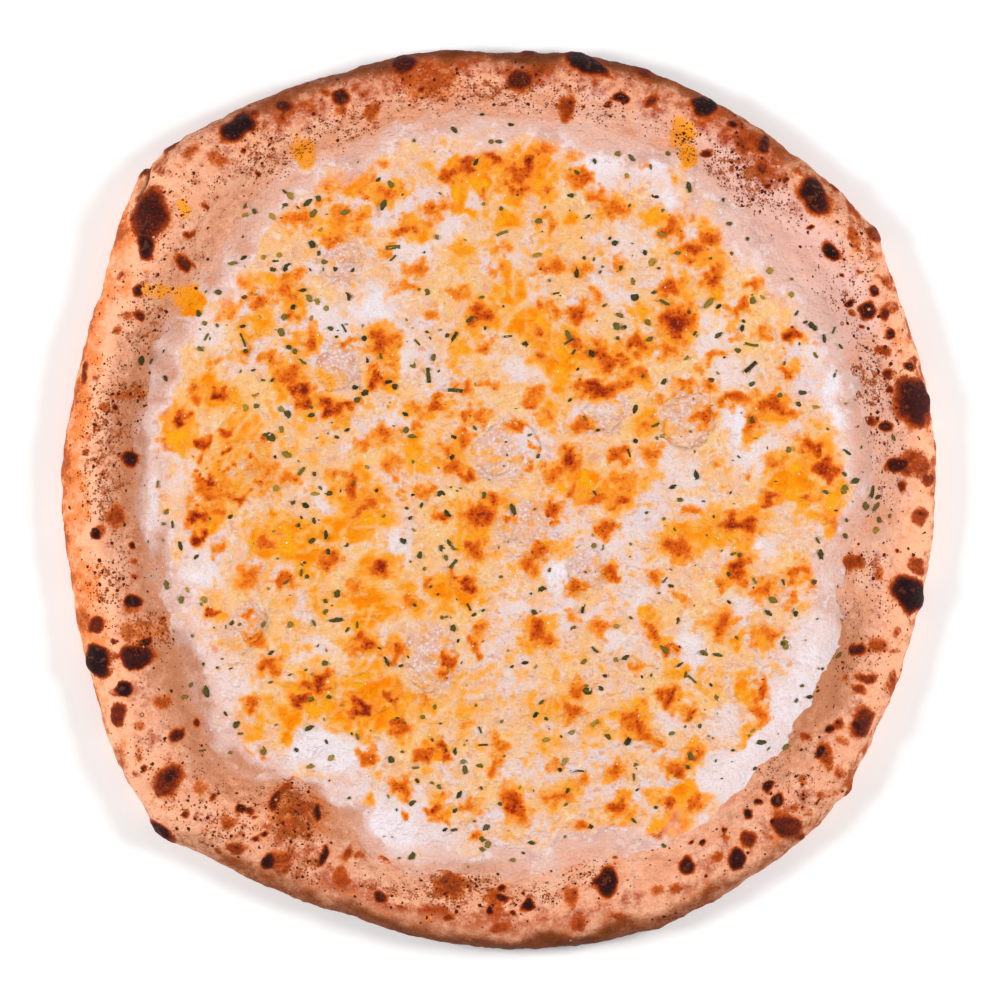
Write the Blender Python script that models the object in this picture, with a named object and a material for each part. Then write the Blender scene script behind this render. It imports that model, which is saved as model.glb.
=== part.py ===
"""A whole baked four-cheese style pizza: puffed crust, melted cheese layer, soft cheese lumps.

Metres, +Z up. The pizza lies on its flat underside at Z = 0, and the middle of its outline box
is the origin. Directions are degrees round +Z from +X, and the side at +Y is the far side.
"""

import math
import random

import bmesh
import bpy
import numpy as np
from mathutils import Matrix, Vector, noise
from mathutils.bvhtree import BVHTree

MM = 0.001

# Driving dimensions.
GAP = 0.35 * MM               # clearance between neighbouring pieces
CRUST_SEGMENTS = 132          # steps round the crust
BASE_THICKNESS = 3.2 * MM     # dough under the cheese
RIM_HEIGHT = 18 * MM          # the puffed rim where it is neither high nor low
NOMINAL_EDGE = 131 * MM       # cheese edge of the unshaped turned crust
NOMINAL_REACH = 160 * MM      # outer edge of the unshaped turned crust
CREST_AT = 0.56               # the rim's top, as a share of the way from cheese edge to outside
BELLY_AT = 0.42               # height of the rim's widest point, as a share of its height
SLOPE_START = -0.40           # where the dish floor starts to climb, on the same share
CHEESE_THICKNESS = 3.0 * MM
CHEESE_EDGE_THICKNESS = 0.9 * MM
CHEESE_CELLS = 30             # cells across the cheese layer
FLAKE_COUNT = 100             # the largest herb flakes
LUMP_THICKNESS = 4.6 * MM

# The outer edge: (direction, distance from the middle in mm).
OUTLINE = (
    (0, 155), (24, 158), (36, 163), (41, 163), (50, 161), (80, 160.7), (89, 158.4), (98, 161),
    (110, 161.3), (123, 166), (132, 170.8), (138, 171.4), (144, 166.5), (152, 159), (166, 155.2),
    (174, 155.6), (190, 154.4), (204, 158), (216, 165), (225, 167.5), (232, 162.5),
    (250, 156.6), (268, 159), (291, 162.2), (302, 161), (315, 162), (330, 156.5), (343, 153.9),
)

# Where the cheese meets the crust: (direction, distance from the middle in mm).
CHEESE_EDGE = (
    (0, 132.5), (12, 133.5), (27, 134), (38, 131.5), (49, 133.5), (61, 137), (75, 136),
    (90, 135.5), (99, 138), (113, 135), (121, 138), (129, 138), (136, 131), (145, 129.5),
    (157, 133), (168, 130.5), (180, 127.5), (193, 124.5), (206, 123), (213, 129), (226, 135),
    (234, 121.5), (244, 123.5), (250, 132.5), (256, 136), (263, 131.5), (276, 134), (286, 130),
    (294, 136), (302, 136.5), (312, 133.5), (334, 131), (341, 130), (347, 122), (354, 126),
)

# How much higher than RIM_HEIGHT the rim stands: (direction, difference in mm).
RIM_RISE = (
    (0, -1), (35, 1), (75, -0.5), (105, 0), (137, 4.5), (160, 0.5), (190, -1), (223, 3),
    (250, 0.5), (275, 1.5), (300, -0.5), (320, 1), (345, -1),
)

# Bubbles raised on the crust: (x, y, radius, height) in mm. The first swells into the cheese.
CRUST_BUBBLES = (
    (-72.8, -112, 11, 5.0), (-124, 97.5, 8, 2.6), (-92, 131.2, 6.5, 1.6), (111.1, 108.1, 7, 2.2),
    (146.3, 34.6, 8, 2.2), (145.2, 10.1, 7.5, 1.6), (144.9, -33.2, 6.5, 1.8), (38, -135.5, 6, 1.8),
    (101.6, -114.2, 6, 1.4), (127.8, -79.7, 6, 1.4), (-141.7, -57.7, 6, 1.8),
    (-128.5, -56, 6, 1.8), (-131.4, -67, 5, 1.6), (-118, -99.3, 6.5, 1.8), (30.5, 153.2, 7, 1.6),
    (7.5, 148.3, 5.5, 1.2), (-33.4, 154.3, 6, 1.2), (72.1, 139, 5.5, 1.4), (-81.7, -128.4, 5, 1.2),
    (131.7, 72.6, 5, 1.2),
)

# Scorched knobs on the outer edge: (direction, spread in degrees, how far they stand out in mm).
EDGE_KNOBS = ((35.5, 2.2, 1.6), (224.5, 2.6, 1.8), (320, 1.8, 1.6))

# Swells of the melted cheese: (x, y, radius, height) in mm. The first is a bubble in the dough.
CHEESE_SWELLS = (
    (-93.7, 12.6, 14, 4.2), (83, -5.5, 12, 1.5), (36, 40, 11, 1.2), (-70, 36, 9, 1.4),
    (-58, 31, 9, 1.2), (62, 62, 11, 1.2), (112, 14, 10, 1.2), (-12, -26, 10, 1.2),
    (-46, -75, 18, -0.7), (27, 86, 10, 1.0), (20, -34, 9, -0.8), (-67, -64, 10, 1.2),
)

# Lumps of crumbly soft cheese: (x, y, length, width, turn), in mm and degrees.
SOFT_LUMPS = (
    (2, 17.6, 23, 18, 20), (10, -9.5, 21, 17, -15), (67.8, 28.2, 20, 18, 60),
    (-24, -57, 21, 17, 75), (-57.5, 47.5, 18, 15, 30), (36.5, 30.5, 17, 12, 10),
    (30.5, -24.5, 15, 12, 80), (-55, 85, 16, 13, 40), (-90, -44, 16, 12, 70),
)


def clear_scene():
    for leftover in list(bpy.data.objects):
        bpy.data.objects.remove(leftover)


def ring_curve(points, softness=4):
    """A closed curve through (direction, value) pairs, held as one softened value a degree."""
    directions, values = zip(*points)
    raw = np.interp(np.arange(360), directions, values, period=360)
    window = np.hanning(2 * softness + 3)[1:-1]
    window = window / window.sum()
    padded = np.concatenate([raw[-softness:], raw, raw[:softness]])
    return np.convolve(padded, window, mode="valid")


EDGE_CURVE = ring_curve(CHEESE_EDGE)
OUTER_CURVE = ring_curve(OUTLINE, softness=2)
RISE_CURVE = ring_curve(RIM_RISE, softness=12)


def along(curve, direction):
    """The curve's value in metres at a direction in degrees."""
    return float(np.interp(direction % 360, np.arange(360), curve, period=360)) * MM


def edge_distance(direction):
    return along(EDGE_CURVE, direction)


def outer_distance(direction):
    knobs = 0
    for centre, spread, height in EDGE_KNOBS:
        away = (direction - centre + 180) % 360 - 180
        knobs += height * MM * math.exp(-((away / spread) ** 2))
    return along(OUTER_CURVE, direction) + knobs


def direction_of(x, y):
    return math.degrees(math.atan2(y, x))


def mounds(x, y, listed):
    """Added height at a place from a list of round swells, each flattening out at its radius."""
    total = 0
    for centre_x, centre_y, radius, height in listed:
        away = math.hypot(x - centre_x * MM, y - centre_y * MM) / (radius * MM)
        if away < 1:
            total += height * MM * (1 - away * away) ** 2
    return total


def ease(value, low, high):
    """0 below low, 1 above high, and a smooth step between."""
    share = min(max((value - low) / (high - low), 0), 1)
    return share * share * (3 - 2 * share)


def slope_height(share, rim_height):
    """Height of the crust from the dish floor up to the crest, at a share of the rim's width."""
    climb = min(max((share - SLOPE_START) / (CREST_AT - SLOPE_START), 0), 1)
    rise = (0.5 - 0.5 * math.cos(math.pi * climb)) ** 1.3
    return BASE_THICKNESS + (rim_height - BASE_THICKNESS) * rise


def crust_profile():
    """Half of the crust's section as (distance, height), from the underside's middle round the
    outside and over the crest to the dish floor's middle."""
    width = NOMINAL_REACH - NOMINAL_EDGE
    belly = BELLY_AT * RIM_HEIGHT
    points = [(0, 0), (0.5 * NOMINAL_EDGE, 0), (0.95 * NOMINAL_EDGE, 0)]
    for angle in np.linspace(-72, 90, 10):
        across = CREST_AT + (1 - CREST_AT) * math.cos(math.radians(angle))
        reach = RIM_HEIGHT - belly if angle > 0 else belly
        height = belly + reach * math.sin(math.radians(angle))
        points.append((NOMINAL_EDGE + across * width, max(height, 0)))
    for share in np.linspace(CREST_AT, SLOPE_START, 9)[1:]:
        points.append((NOMINAL_EDGE + share * width, slope_height(share, RIM_HEIGHT)))
    points += [(0.55 * NOMINAL_EDGE, BASE_THICKNESS), (0, BASE_THICKNESS)]
    return points


def shaped_crust_point(point):
    """A point of the turned crust, moved to the real outline, rim height and bubbles."""
    direction = direction_of(point.x, point.y)
    flat = math.hypot(point.x, point.y)
    edge = edge_distance(direction)
    share = (flat - NOMINAL_EDGE) / (NOMINAL_REACH - NOMINAL_EDGE)
    if share < 0:
        distance = flat * edge / NOMINAL_EDGE
    else:
        distance = edge + share * (outer_distance(direction) - edge)
    x = distance * math.cos(math.radians(direction))
    y = distance * math.sin(math.radians(direction))
    stretch = 1 + ease(share, -0.2, 0.4) * along(RISE_CURVE, direction) / RIM_HEIGHT
    on_top = ease(point.z / RIM_HEIGHT, 0.35, 0.75)
    uneven = 0.7 * MM * noise.noise(Vector((x, y, 0)) / (16 * MM)) * on_top
    lift = mounds(x, y, CRUST_BUBBLES) * max(on_top, ease(share, -0.4, 0.1) * (point.z > MM))
    return Vector((x, y, point.z * stretch + uneven + lift))


def new_object(name, mesh_or_bmesh, material):
    if isinstance(mesh_or_bmesh, bmesh.types.BMesh):
        mesh = bpy.data.meshes.new(name)
        mesh_or_bmesh.to_mesh(mesh)
        mesh_or_bmesh.free()
    else:
        mesh = mesh_or_bmesh
    mesh.materials.append(material)
    mesh.shade_smooth()
    mesh.set_sharp_from_angle(angle=math.radians(50))
    made = bpy.data.objects.new(name, mesh)
    bpy.context.scene.collection.objects.link(made)
    return made


def food_material(name, colour, roughness):
    material = bpy.data.materials.new(name)
    material.use_nodes = True
    shader = material.node_tree.nodes["Principled BSDF"]
    shader.inputs["Base Color"].default_value = (*colour, 1)
    shader.inputs["Roughness"].default_value = roughness
    shader.inputs["Metallic"].default_value = 0
    return material


def make_crust(material):
    """The dough base and puffed rim, turned round +Z and then shaped."""
    work = bmesh.new()
    line = [work.verts.new((distance, 0, height)) for distance, height in crust_profile()]
    edges = [work.edges.new(pair) for pair in zip(line, line[1:])]
    bmesh.ops.spin(work, geom=line + edges, cent=(0, 0, 0), axis=(0, 0, 1),
                   angle=math.tau, steps=CRUST_SEGMENTS, use_merge=True)
    bmesh.ops.remove_doubles(work, verts=work.verts, dist=0.01 * MM)
    for vertex in work.verts:
        vertex.co = shaped_crust_point(vertex.co)
    bmesh.ops.triangulate(work, faces=work.faces)
    bmesh.ops.recalc_face_normals(work, faces=work.faces)
    return new_object("crust", work, material)


def crust_top(x, y):
    """Height of the dish floor or inner slope at a place under the cheese."""
    direction = direction_of(x, y)
    edge = edge_distance(direction)
    width = outer_distance(direction) - edge
    share = (math.hypot(x, y) - edge) / width
    if share < 0:
        share = (math.hypot(x, y) / edge - 1) * NOMINAL_EDGE / (NOMINAL_REACH - NOMINAL_EDGE)
    stretch = 1 + ease(share, -0.2, 0.4) * along(RISE_CURVE, direction) / RIM_HEIGHT
    bubbles = mounds(x, y, CRUST_BUBBLES) * ease(share, -0.4, 0.1)
    return slope_height(share, RIM_HEIGHT) * stretch + bubbles


def cheese_surface(x, y):
    """(underside, top) of the melted cheese at a place."""
    reach = math.hypot(x, y) / edge_distance(direction_of(x, y))
    under = crust_top(x, y) + 1.4 * GAP
    thin = ease(reach, 0.90, 1.0)
    thick = CHEESE_THICKNESS * (1 - thin) + CHEESE_EDGE_THICKNESS * thin
    relief = mounds(x, y, CHEESE_SWELLS)
    relief += 0.5 * MM * noise.noise(Vector((x, y, 0.05)) / (13 * MM))
    return under, under + thick + relief * (1 - thin)


def make_cheese(material):
    """The melted layer: a square of cells pressed round, pulled up into a slab and shaped."""
    work = bmesh.new()
    bmesh.ops.create_grid(work, x_segments=CHEESE_CELLS, y_segments=CHEESE_CELLS, size=1)
    for vertex in work.verts:
        across, up = vertex.co.x, vertex.co.y
        x = across * math.sqrt(1 - up * up / 2)
        y = up * math.sqrt(1 - across * across / 2)
        edge = edge_distance(direction_of(x, y)) - 0.5 * MM
        vertex.co = Vector((x * edge, y * edge, 0))
    raised = bmesh.ops.extrude_face_region(work, geom=list(work.faces))["geom"]
    upper = {item for item in raised if isinstance(item, bmesh.types.BMVert)}
    for vertex in work.verts:
        under, top = cheese_surface(vertex.co.x, vertex.co.y)
        vertex.co.z = top if vertex in upper else under
    bmesh.ops.triangulate(work, faces=work.faces)
    bmesh.ops.recalc_face_normals(work, faces=work.faces)
    return new_object("cheese", work, material)


def lump_bmesh(index, x, y, length, width, turn, swell=0.0):
    """A low uneven lump half sunk in the cheese, grown outwards all over by swell."""
    work = bmesh.new()
    bmesh.ops.create_icosphere(work, subdivisions=2, radius=1)
    for vertex in work.verts:
        crumb = 1 + 0.16 * noise.noise(vertex.co * 1.7 + Vector((index * 7.3, 0, 0)))
        vertex.co *= crumb
    half_sizes = (length * MM / 2, width * MM / 2, LUMP_THICKNESS / 2)
    bmesh.ops.scale(work, vec=half_sizes, verts=work.verts)
    work.normal_update()
    grown = [vertex.co + vertex.normal * swell for vertex in work.verts]
    for vertex, place in zip(work.verts, grown):
        vertex.co = place
    top = cheese_surface(x * MM, y * MM)[1]
    centre = Vector((x * MM, y * MM, top + 0.12 * LUMP_THICKNESS))
    turned = Matrix.Translation(centre) @ Matrix.Rotation(math.radians(turn), 4, "Z")
    bmesh.ops.transform(work, matrix=turned, verts=work.verts)
    return work


def make_lumps(material):
    made = []
    for index, lump in enumerate(SOFT_LUMPS, start=1):
        made.append(new_object(f"soft_cheese_{index:02d}", lump_bmesh(index, *lump), material))
    return made


def combine(target, shapes, operation):
    """Applies one Boolean with a collection of shapes to the target, and removes the shapes."""
    group = bpy.data.collections.new("shapes")
    bpy.context.scene.collection.children.link(group)
    for shape in shapes:
        bpy.context.scene.collection.objects.unlink(shape)
        group.objects.link(shape)
    joining = target.modifiers.new("combine", "BOOLEAN")
    joining.operation = operation
    joining.operand_type = "COLLECTION"
    joining.collection = group
    joining.solver = "EXACT"
    bpy.context.view_layer.objects.active = target
    bpy.ops.object.modifier_apply(modifier=joining.name)
    for shape in shapes:
        bpy.data.objects.remove(shape)
    bpy.data.collections.remove(group)


def cut_pockets(cheese, material):
    """The melted cheese lies round each lump with a small clearance."""
    cutters = []
    for index, lump in enumerate(SOFT_LUMPS, start=1):
        cutters.append(new_object("pocket", lump_bmesh(index, *lump, swell=GAP), material))
    combine(cheese, cutters, "DIFFERENCE")


def clear_of_lumps(x, y, room):
    for lump_x, lump_y, length, width, _turn in SOFT_LUMPS:
        if math.hypot(x - lump_x * MM, y - lump_y * MM) < max(length, width) * MM / 2 + room:
            return False
    return True


def add_flakes(cheese, material):
    """The largest dried herb flakes, spread evenly, half sunk in the cheese and fused to it."""
    draw = random.Random(7)
    surface = BVHTree.FromObject(cheese, bpy.context.evaluated_depsgraph_get())
    golden = 180 * (3 - math.sqrt(5))
    flakes = []
    for index in range(FLAKE_COUNT):
        direction = index * golden + draw.uniform(-6, 6)
        reach = 0.90 * math.sqrt((index + 0.5) / FLAKE_COUNT)
        distance = reach * edge_distance(direction)
        x = distance * math.cos(math.radians(direction))
        y = distance * math.sin(math.radians(direction))
        length = draw.uniform(3.0, 4.6) * MM
        width = draw.uniform(1.7, 2.4) * MM
        turn = draw.uniform(0, math.pi)
        if not clear_of_lumps(x, y, 3.2 * MM):
            continue
        place, normal, _face, _far = surface.ray_cast(Vector((x, y, 0.05)), Vector((0, 0, -1)))
        work = bmesh.new()
        bmesh.ops.create_cone(work, cap_ends=True, segments=6, radius1=0.5, radius2=0.36, depth=1)
        bmesh.ops.scale(work, vec=(length, width, 1.2 * MM), verts=work.verts)
        lean = normal.to_track_quat("Z", "Y").to_matrix().to_4x4()
        seat = Matrix.Translation(place) @ lean @ Matrix.Rotation(turn, 4, "Z")
        bmesh.ops.transform(work, matrix=seat, verts=work.verts)
        flakes.append(new_object("flake", work, material))
    combine(cheese, flakes, "UNION")


def centre_outline(objects):
    """Hangs every piece on one empty that brings the middle of the outline to the origin."""
    crust = next(piece for piece in objects if piece.name == "crust")
    places = np.array([vertex.co for vertex in crust.data.vertices])
    middle = (places.min(axis=0) + places.max(axis=0)) / 2
    holder = bpy.data.objects.new("pizza", None)
    bpy.context.scene.collection.objects.link(holder)
    for piece in objects:
        piece.parent = holder
    holder.location = (-middle[0], -middle[1], 0)


def main():
    clear_scene()
    dough = food_material("baked_dough", (0.62, 0.33, 0.18), 0.75)
    melted = food_material("melted_cheese", (0.86, 0.55, 0.26), 0.4)
    crumbly = food_material("soft_cheese", (0.80, 0.52, 0.40), 0.6)
    crust = make_crust(dough)
    cheese = make_cheese(melted)
    cut_pockets(cheese, melted)
    add_flakes(cheese, melted)
    lumps = make_lumps(crumbly)
    centre_outline([crust, cheese, *lumps])


main()
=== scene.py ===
# %% [markdown]
# # A baked cheese pizza, seen from straight above
# The real thing is a hand-stretched round of dough, baked very hot. Its rim puffs up and chars in
# spots, the cheeses melt and toast, and dried herbs lie over everything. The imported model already
# holds the true sizes of the crust, the melted cheese and nine lumps of soft cheese. This lesson
# dresses them: each is remodelled finely on the same curves, and then painted with node materials.

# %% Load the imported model
import math
import random

import bmesh
import bpy
import numpy as np
from mathutils import Euler, Matrix, Vector, noise
from mathutils.bvhtree import BVHTree


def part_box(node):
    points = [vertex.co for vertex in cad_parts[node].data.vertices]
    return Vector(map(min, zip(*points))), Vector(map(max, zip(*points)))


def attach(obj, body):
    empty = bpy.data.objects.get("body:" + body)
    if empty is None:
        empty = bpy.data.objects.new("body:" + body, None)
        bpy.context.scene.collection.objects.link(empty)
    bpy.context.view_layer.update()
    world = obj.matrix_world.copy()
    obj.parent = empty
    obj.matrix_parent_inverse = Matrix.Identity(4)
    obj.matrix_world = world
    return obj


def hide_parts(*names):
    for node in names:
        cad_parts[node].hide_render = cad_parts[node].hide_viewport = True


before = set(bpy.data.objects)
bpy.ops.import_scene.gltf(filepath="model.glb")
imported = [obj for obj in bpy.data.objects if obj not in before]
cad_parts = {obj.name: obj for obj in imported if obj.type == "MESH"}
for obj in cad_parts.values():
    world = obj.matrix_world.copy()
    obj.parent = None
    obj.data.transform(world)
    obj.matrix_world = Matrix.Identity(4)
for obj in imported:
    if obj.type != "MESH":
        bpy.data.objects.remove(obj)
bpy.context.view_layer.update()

MM = 0.001
print("nodes:", ", ".join(sorted(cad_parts)))

# %% [markdown]
# ## Reading places off the photograph
# Every char spot, toasted patch and herb flake was looked up in the photograph, so its place is
# noted in pixels. One scale and one middle point turn a pixel into metres. A pizza of this kind is
# about 32 cm across and covers 900 pixels, which gives the scale.

# %% The photograph's scale and middle
PIXEL = 0.3551 * MM           # one pixel on the pizza
MIDDLE_PX = (499, 499.5)      # the pixel that the shape's directions are measured from
FRAME_PX = 1000               # the photograph's width and height


def from_pixels(x, y):
    """A pixel of the photograph as metres from the middle, +Y away from the viewer."""
    return (x - MIDDLE_PX[0]) * PIXEL, (MIDDLE_PX[1] - y) * PIXEL


print("the photograph spans", round(FRAME_PX * PIXEL, 4), "m")

# %% [markdown]
# ## Small helpers for materials
# Colours are written as the eye sees them, in sRGB hex, and one function turns them to the linear
# values that a shader needs. A second function adds a node, sets it up and links it. A third builds
# paint in layers, because every surface here is a pale ground with stains over it: each stain has a
# mask, two limits between which it fades in, and a colour. One chain of Mix nodes does this. The
# last one starts a material.

# %% Colour and node helpers
def colour(code):
    """An sRGB hex colour as linear RGBA."""
    channels = [int(code[i:i + 2], 16) / 255 for i in (1, 3, 5)]
    linear = [c / 12.92 if c <= 0.04045 else ((c + 0.055) / 1.055) ** 2.4 for c in channels]
    return (*linear, 1)


def add(tree, kind, feeds=None, **settings):
    """A new node with its settings, and its sockets fed by values or by other sockets."""
    node = tree.nodes.new(kind)
    for name, value in settings.items():
        setattr(node, name, value)
    for socket, value in (feeds or {}).items():
        if isinstance(value, bpy.types.NodeSocket):
            tree.links.new(value, node.inputs[socket])
        else:
            node.inputs[socket].default_value = value
    return node


def paint_layers(tree, ground, layers):
    """Stains over a ground colour. Each layer is (mask, starts at, full at, colour)."""
    below = ground
    for mask, low, high, stain in layers:
        fade = add(tree, "ShaderNodeMapRange", {0: mask, 1: low, 2: high},
                   interpolation_type="SMOOTHSTEP")
        below = add(tree, "ShaderNodeMix", {0: fade.outputs[0], 6: below, 7: stain},
                    data_type="RGBA").outputs[2]
    return below


def new_material(name):
    """A new node material, its tree and its shader."""
    material = bpy.data.materials.new(name)
    material.use_nodes = True
    return material, material.node_tree, material.node_tree.nodes["Principled BSDF"]


print("pale dough in linear light:", [round(c, 3) for c in colour("#efb296")])

# %% [markdown]
# ## Outlines, round the middle
# Hand-stretched dough is never a true circle. Its outer edge, the line where the cheese stops and
# the height of the rim are each written as a few (direction, value) pairs, in degrees round +Z and
# millimetres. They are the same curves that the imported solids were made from, so what is
# modelled here lies where they lie. A short smoothing window turns the corners soft.

# %% The curves of the crust
BASE_THICKNESS = 3.2 * MM
RIM_HEIGHT = 18 * MM
NOMINAL_EDGE = 131 * MM       # cheese edge before shaping
NOMINAL_REACH = 160 * MM      # outer edge before shaping
CREST_AT = 0.56               # the rim's top, as a share of its width
BELLY_AT = 0.42               # height of the rim's widest point, as a share of its height
SLOPE_START = -0.40           # where the dish floor starts to climb, on the same share

OUTLINE = (
    (0, 155), (24, 158), (36, 163), (41, 163), (50, 161), (80, 160.7), (89, 158.4), (98, 161),
    (110, 161.3), (123, 166), (132, 170.8), (138, 171.4), (144, 166.5), (152, 159), (166, 155.2),
    (174, 155.6), (190, 154.4), (204, 158), (216, 165), (225, 167.5), (232, 162.5),
    (250, 156.6), (268, 159), (291, 162.2), (302, 161), (315, 162), (330, 156.5), (343, 153.9),
)
CHEESE_EDGE = (
    (0, 132.5), (12, 133.5), (27, 134), (38, 131.5), (49, 133.5), (61, 137), (75, 136),
    (90, 135.5), (99, 138), (113, 135), (121, 138), (129, 138), (136, 131), (145, 129.5),
    (157, 133), (168, 130.5), (180, 127.5), (193, 124.5), (206, 123), (213, 129), (226, 135),
    (234, 121.5), (244, 123.5), (250, 132.5), (256, 136), (263, 131.5), (276, 134), (286, 130),
    (294, 136), (302, 136.5), (312, 133.5), (334, 131), (341, 130), (347, 122), (354, 126),
)
RIM_RISE = (
    (0, -1), (35, 1), (75, -0.5), (105, 0), (137, 4.5), (160, 0.5), (190, -1), (223, 3),
    (250, 0.5), (275, 1.5), (300, -0.5), (320, 1), (345, -1),
)
# Bubbles raised on the crust: (x, y, radius, height) in mm. The first swells into the cheese.
CRUST_BUBBLES = (
    (-72.8, -112, 11, 5.0), (-124, 97.5, 8, 2.6), (-92, 131.2, 6.5, 1.6), (111.1, 108.1, 7, 2.2),
    (146.3, 34.6, 8, 2.2), (145.2, 10.1, 7.5, 1.6), (144.9, -33.2, 6.5, 1.8), (38, -135.5, 6, 1.8),
    (101.6, -114.2, 6, 1.4), (127.8, -79.7, 6, 1.4), (-141.7, -57.7, 6, 1.8),
    (-128.5, -56, 6, 1.8), (-131.4, -67, 5, 1.6), (-118, -99.3, 6.5, 1.8), (30.5, 153.2, 7, 1.6),
    (7.5, 148.3, 5.5, 1.2), (-33.4, 154.3, 6, 1.2), (72.1, 139, 5.5, 1.4), (-81.7, -128.4, 5, 1.2),
    (131.7, 72.6, 5, 1.2),
)
# Scorched knobs on the outer edge: (direction, spread in degrees, how far they stand out in mm).
EDGE_KNOBS = ((35.5, 2.2, 1.6), (224.5, 2.6, 1.8), (320, 1.8, 1.6))


def ring_curve(points, softness=4):
    """A closed curve through (direction, value) pairs, held as one softened value a degree."""
    directions, values = zip(*points)
    raw = np.interp(np.arange(360), directions, values, period=360)
    window = np.hanning(2 * softness + 3)[1:-1]
    padded = np.concatenate([raw[-softness:], raw, raw[:softness]])
    return np.convolve(padded, window / window.sum(), mode="valid")


def around(curve, direction):
    """The curve's values at directions in degrees."""
    return np.interp(direction % 360, np.arange(360), curve, period=360)


EDGE_CURVE = ring_curve(CHEESE_EDGE)
OUTER_CURVE = ring_curve(OUTLINE, softness=2)
RISE_CURVE = ring_curve(RIM_RISE, softness=12)
print("the rim is", round(float((OUTER_CURVE - EDGE_CURVE).mean()), 1), "mm wide on average")

# %% [markdown]
# ## Heights
# The crust climbs from a thin flat floor to a rounded crest in one smooth wave. These functions
# take whole arrays of points at once, because the fine meshes have about a hundred thousand
# points each, and a plain loop would be slow. Noise makes the surface uneven. It is read from the
# place of a point, so it is the same in every run.

# %% Height functions
def ease(value, low, high):
    """0 below low, 1 above high, and a smooth step between."""
    share = np.clip((value - low) / (high - low), 0, 1)
    return share * share * (3 - 2 * share)


def rough(places, size, shift=0.0):
    """Smooth noise of about -0.5 to 0.5, with waves of the given size in metres."""
    return np.array([noise.noise(Vector(place) / size + Vector((shift, 0, shift)))
                     for place in places])


def mounds(x, y, listed):
    """Height in metres from (x, y, radius, height) swells in mm, flat at their radius."""
    total = np.zeros(len(x))
    for centre_x, centre_y, radius, height in listed:
        away = np.hypot(x - centre_x * MM, y - centre_y * MM) / (radius * MM)
        total += height * MM * np.clip(1 - away * away, 0, None) ** 2
    return total


def outer_distance(direction):
    """Distance of the outer edge from the middle, with its scorched knobs."""
    reach = around(OUTER_CURVE, direction)
    for centre, spread, height in EDGE_KNOBS:
        away = (direction - centre + 180) % 360 - 180
        reach = reach + height * np.exp(-((away / spread) ** 2))
    return reach * MM


def rim_share(x, y):
    """How far across the rim a place is: 0 at the cheese, 1 at the outer edge."""
    direction = np.degrees(np.arctan2(y, x))
    edge = around(EDGE_CURVE, direction) * MM
    flat = np.hypot(x, y)
    inside = (flat / edge - 1) * NOMINAL_EDGE / (NOMINAL_REACH - NOMINAL_EDGE)
    return np.where(flat < edge, inside, (flat - edge) / (outer_distance(direction) - edge))


def slope_height(share, rim_height):
    """Height of the slope from the dish floor to a crest of the given height."""
    climb = np.clip((share - SLOPE_START) / (CREST_AT - SLOPE_START), 0, 1)
    rise = (0.5 - 0.5 * np.cos(math.pi * climb)) ** 1.3
    return BASE_THICKNESS + (rim_height - BASE_THICKNESS) * rise


def rim_stretch(share, direction):
    """How much higher the rim stands in a direction, as a factor."""
    return 1 + ease(share, -0.2, 0.4) * around(RISE_CURVE, direction) * MM / RIM_HEIGHT


def crust_top(x, y):
    """Height of the dish floor or inner slope."""
    share = rim_share(x, y)
    direction = np.degrees(np.arctan2(y, x))
    bubbles = mounds(x, y, CRUST_BUBBLES) * ease(share, -0.4, 0.1)
    return slope_height(share, RIM_HEIGHT) * rim_stretch(share, direction) + bubbles


print("floor and crest:", crust_top(np.array([0.0, 0.146]), np.array([0.0, 0.0])))

# %% [markdown]
# ## Marks
# A mark is an ellipse in pixels: (x, y, length, width, level), and a turn in degrees where it isn't
# level with the picture. Its level says how strong it is at its heart. A field is the strongest
# mark at each point of a mesh, fading out round the ellipse. The points are pushed about by noise
# first, so that no mark ends in a clean oval. The fields are stored on the mesh as attributes,
# which the materials read. The other way, one texture for everything, would need an image, and
# painting by hand can't be repeated by a script.

# %% Turning marks into fields
def ragged(places, *waves):
    """The places in the plane, pushed about by noise waves of (size, amount)."""
    flat = np.array(places)[:, :2]
    for size, amount in waves:
        push = np.column_stack([rough(places, size, 11.3), rough(places, size, 27.9)])
        flat = flat + amount * push
    return flat


def ellipse_share(flat, centre, length, width, turn):
    """How far each place is from a turned ellipse's centre: 1 on its outline."""
    across, up = flat[:, 0] - centre[0], flat[:, 1] - centre[1]
    cosine, sine = math.cos(math.radians(turn)), math.sin(math.radians(turn))
    return 2 * np.hypot((across * cosine + up * sine) / length,
                        (up * cosine - across * sine) / width)


def field(flat, marks, inner=0.3, outer=1.2, halo=0.0):
    """The strongest mark at each place, fading from inner to outer, with a faint halo round it."""
    strongest = np.zeros(len(flat))
    for x, y, length, width, level, *turned in marks:
        turn = turned[0] if turned else 0
        away = ellipse_share(flat, from_pixels(x, y), length * PIXEL, width * PIXEL, turn)
        glow = halo * (1 - ease(away, 0.6 * outer, 1.35 * outer))
        strongest = np.maximum(strongest, np.maximum(level * (1 - ease(away, inner, outer)), glow))
    return strongest


def pools(flat, listed, inner=0.3, outer=1.4):
    """A field from (x, y, half length, half width, strength) pools."""
    return field(flat, [(x, y, 2 * rx, 2 * ry, level) for x, y, rx, ry, level in listed],
                 inner, outer)


def store(mesh, **fields):
    """Each field becomes a named attribute of the mesh's points."""
    for name, values in fields.items():
        holder = mesh.attributes.new(name, "FLOAT", "POINT")
        holder.data.foreach_set("value", np.asarray(values, dtype=np.float32))


print("one mark's field at its middle:",
      field(np.array([from_pixels(240, 130)]), [(240, 130, 34, 21, 1, 35)]))

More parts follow.
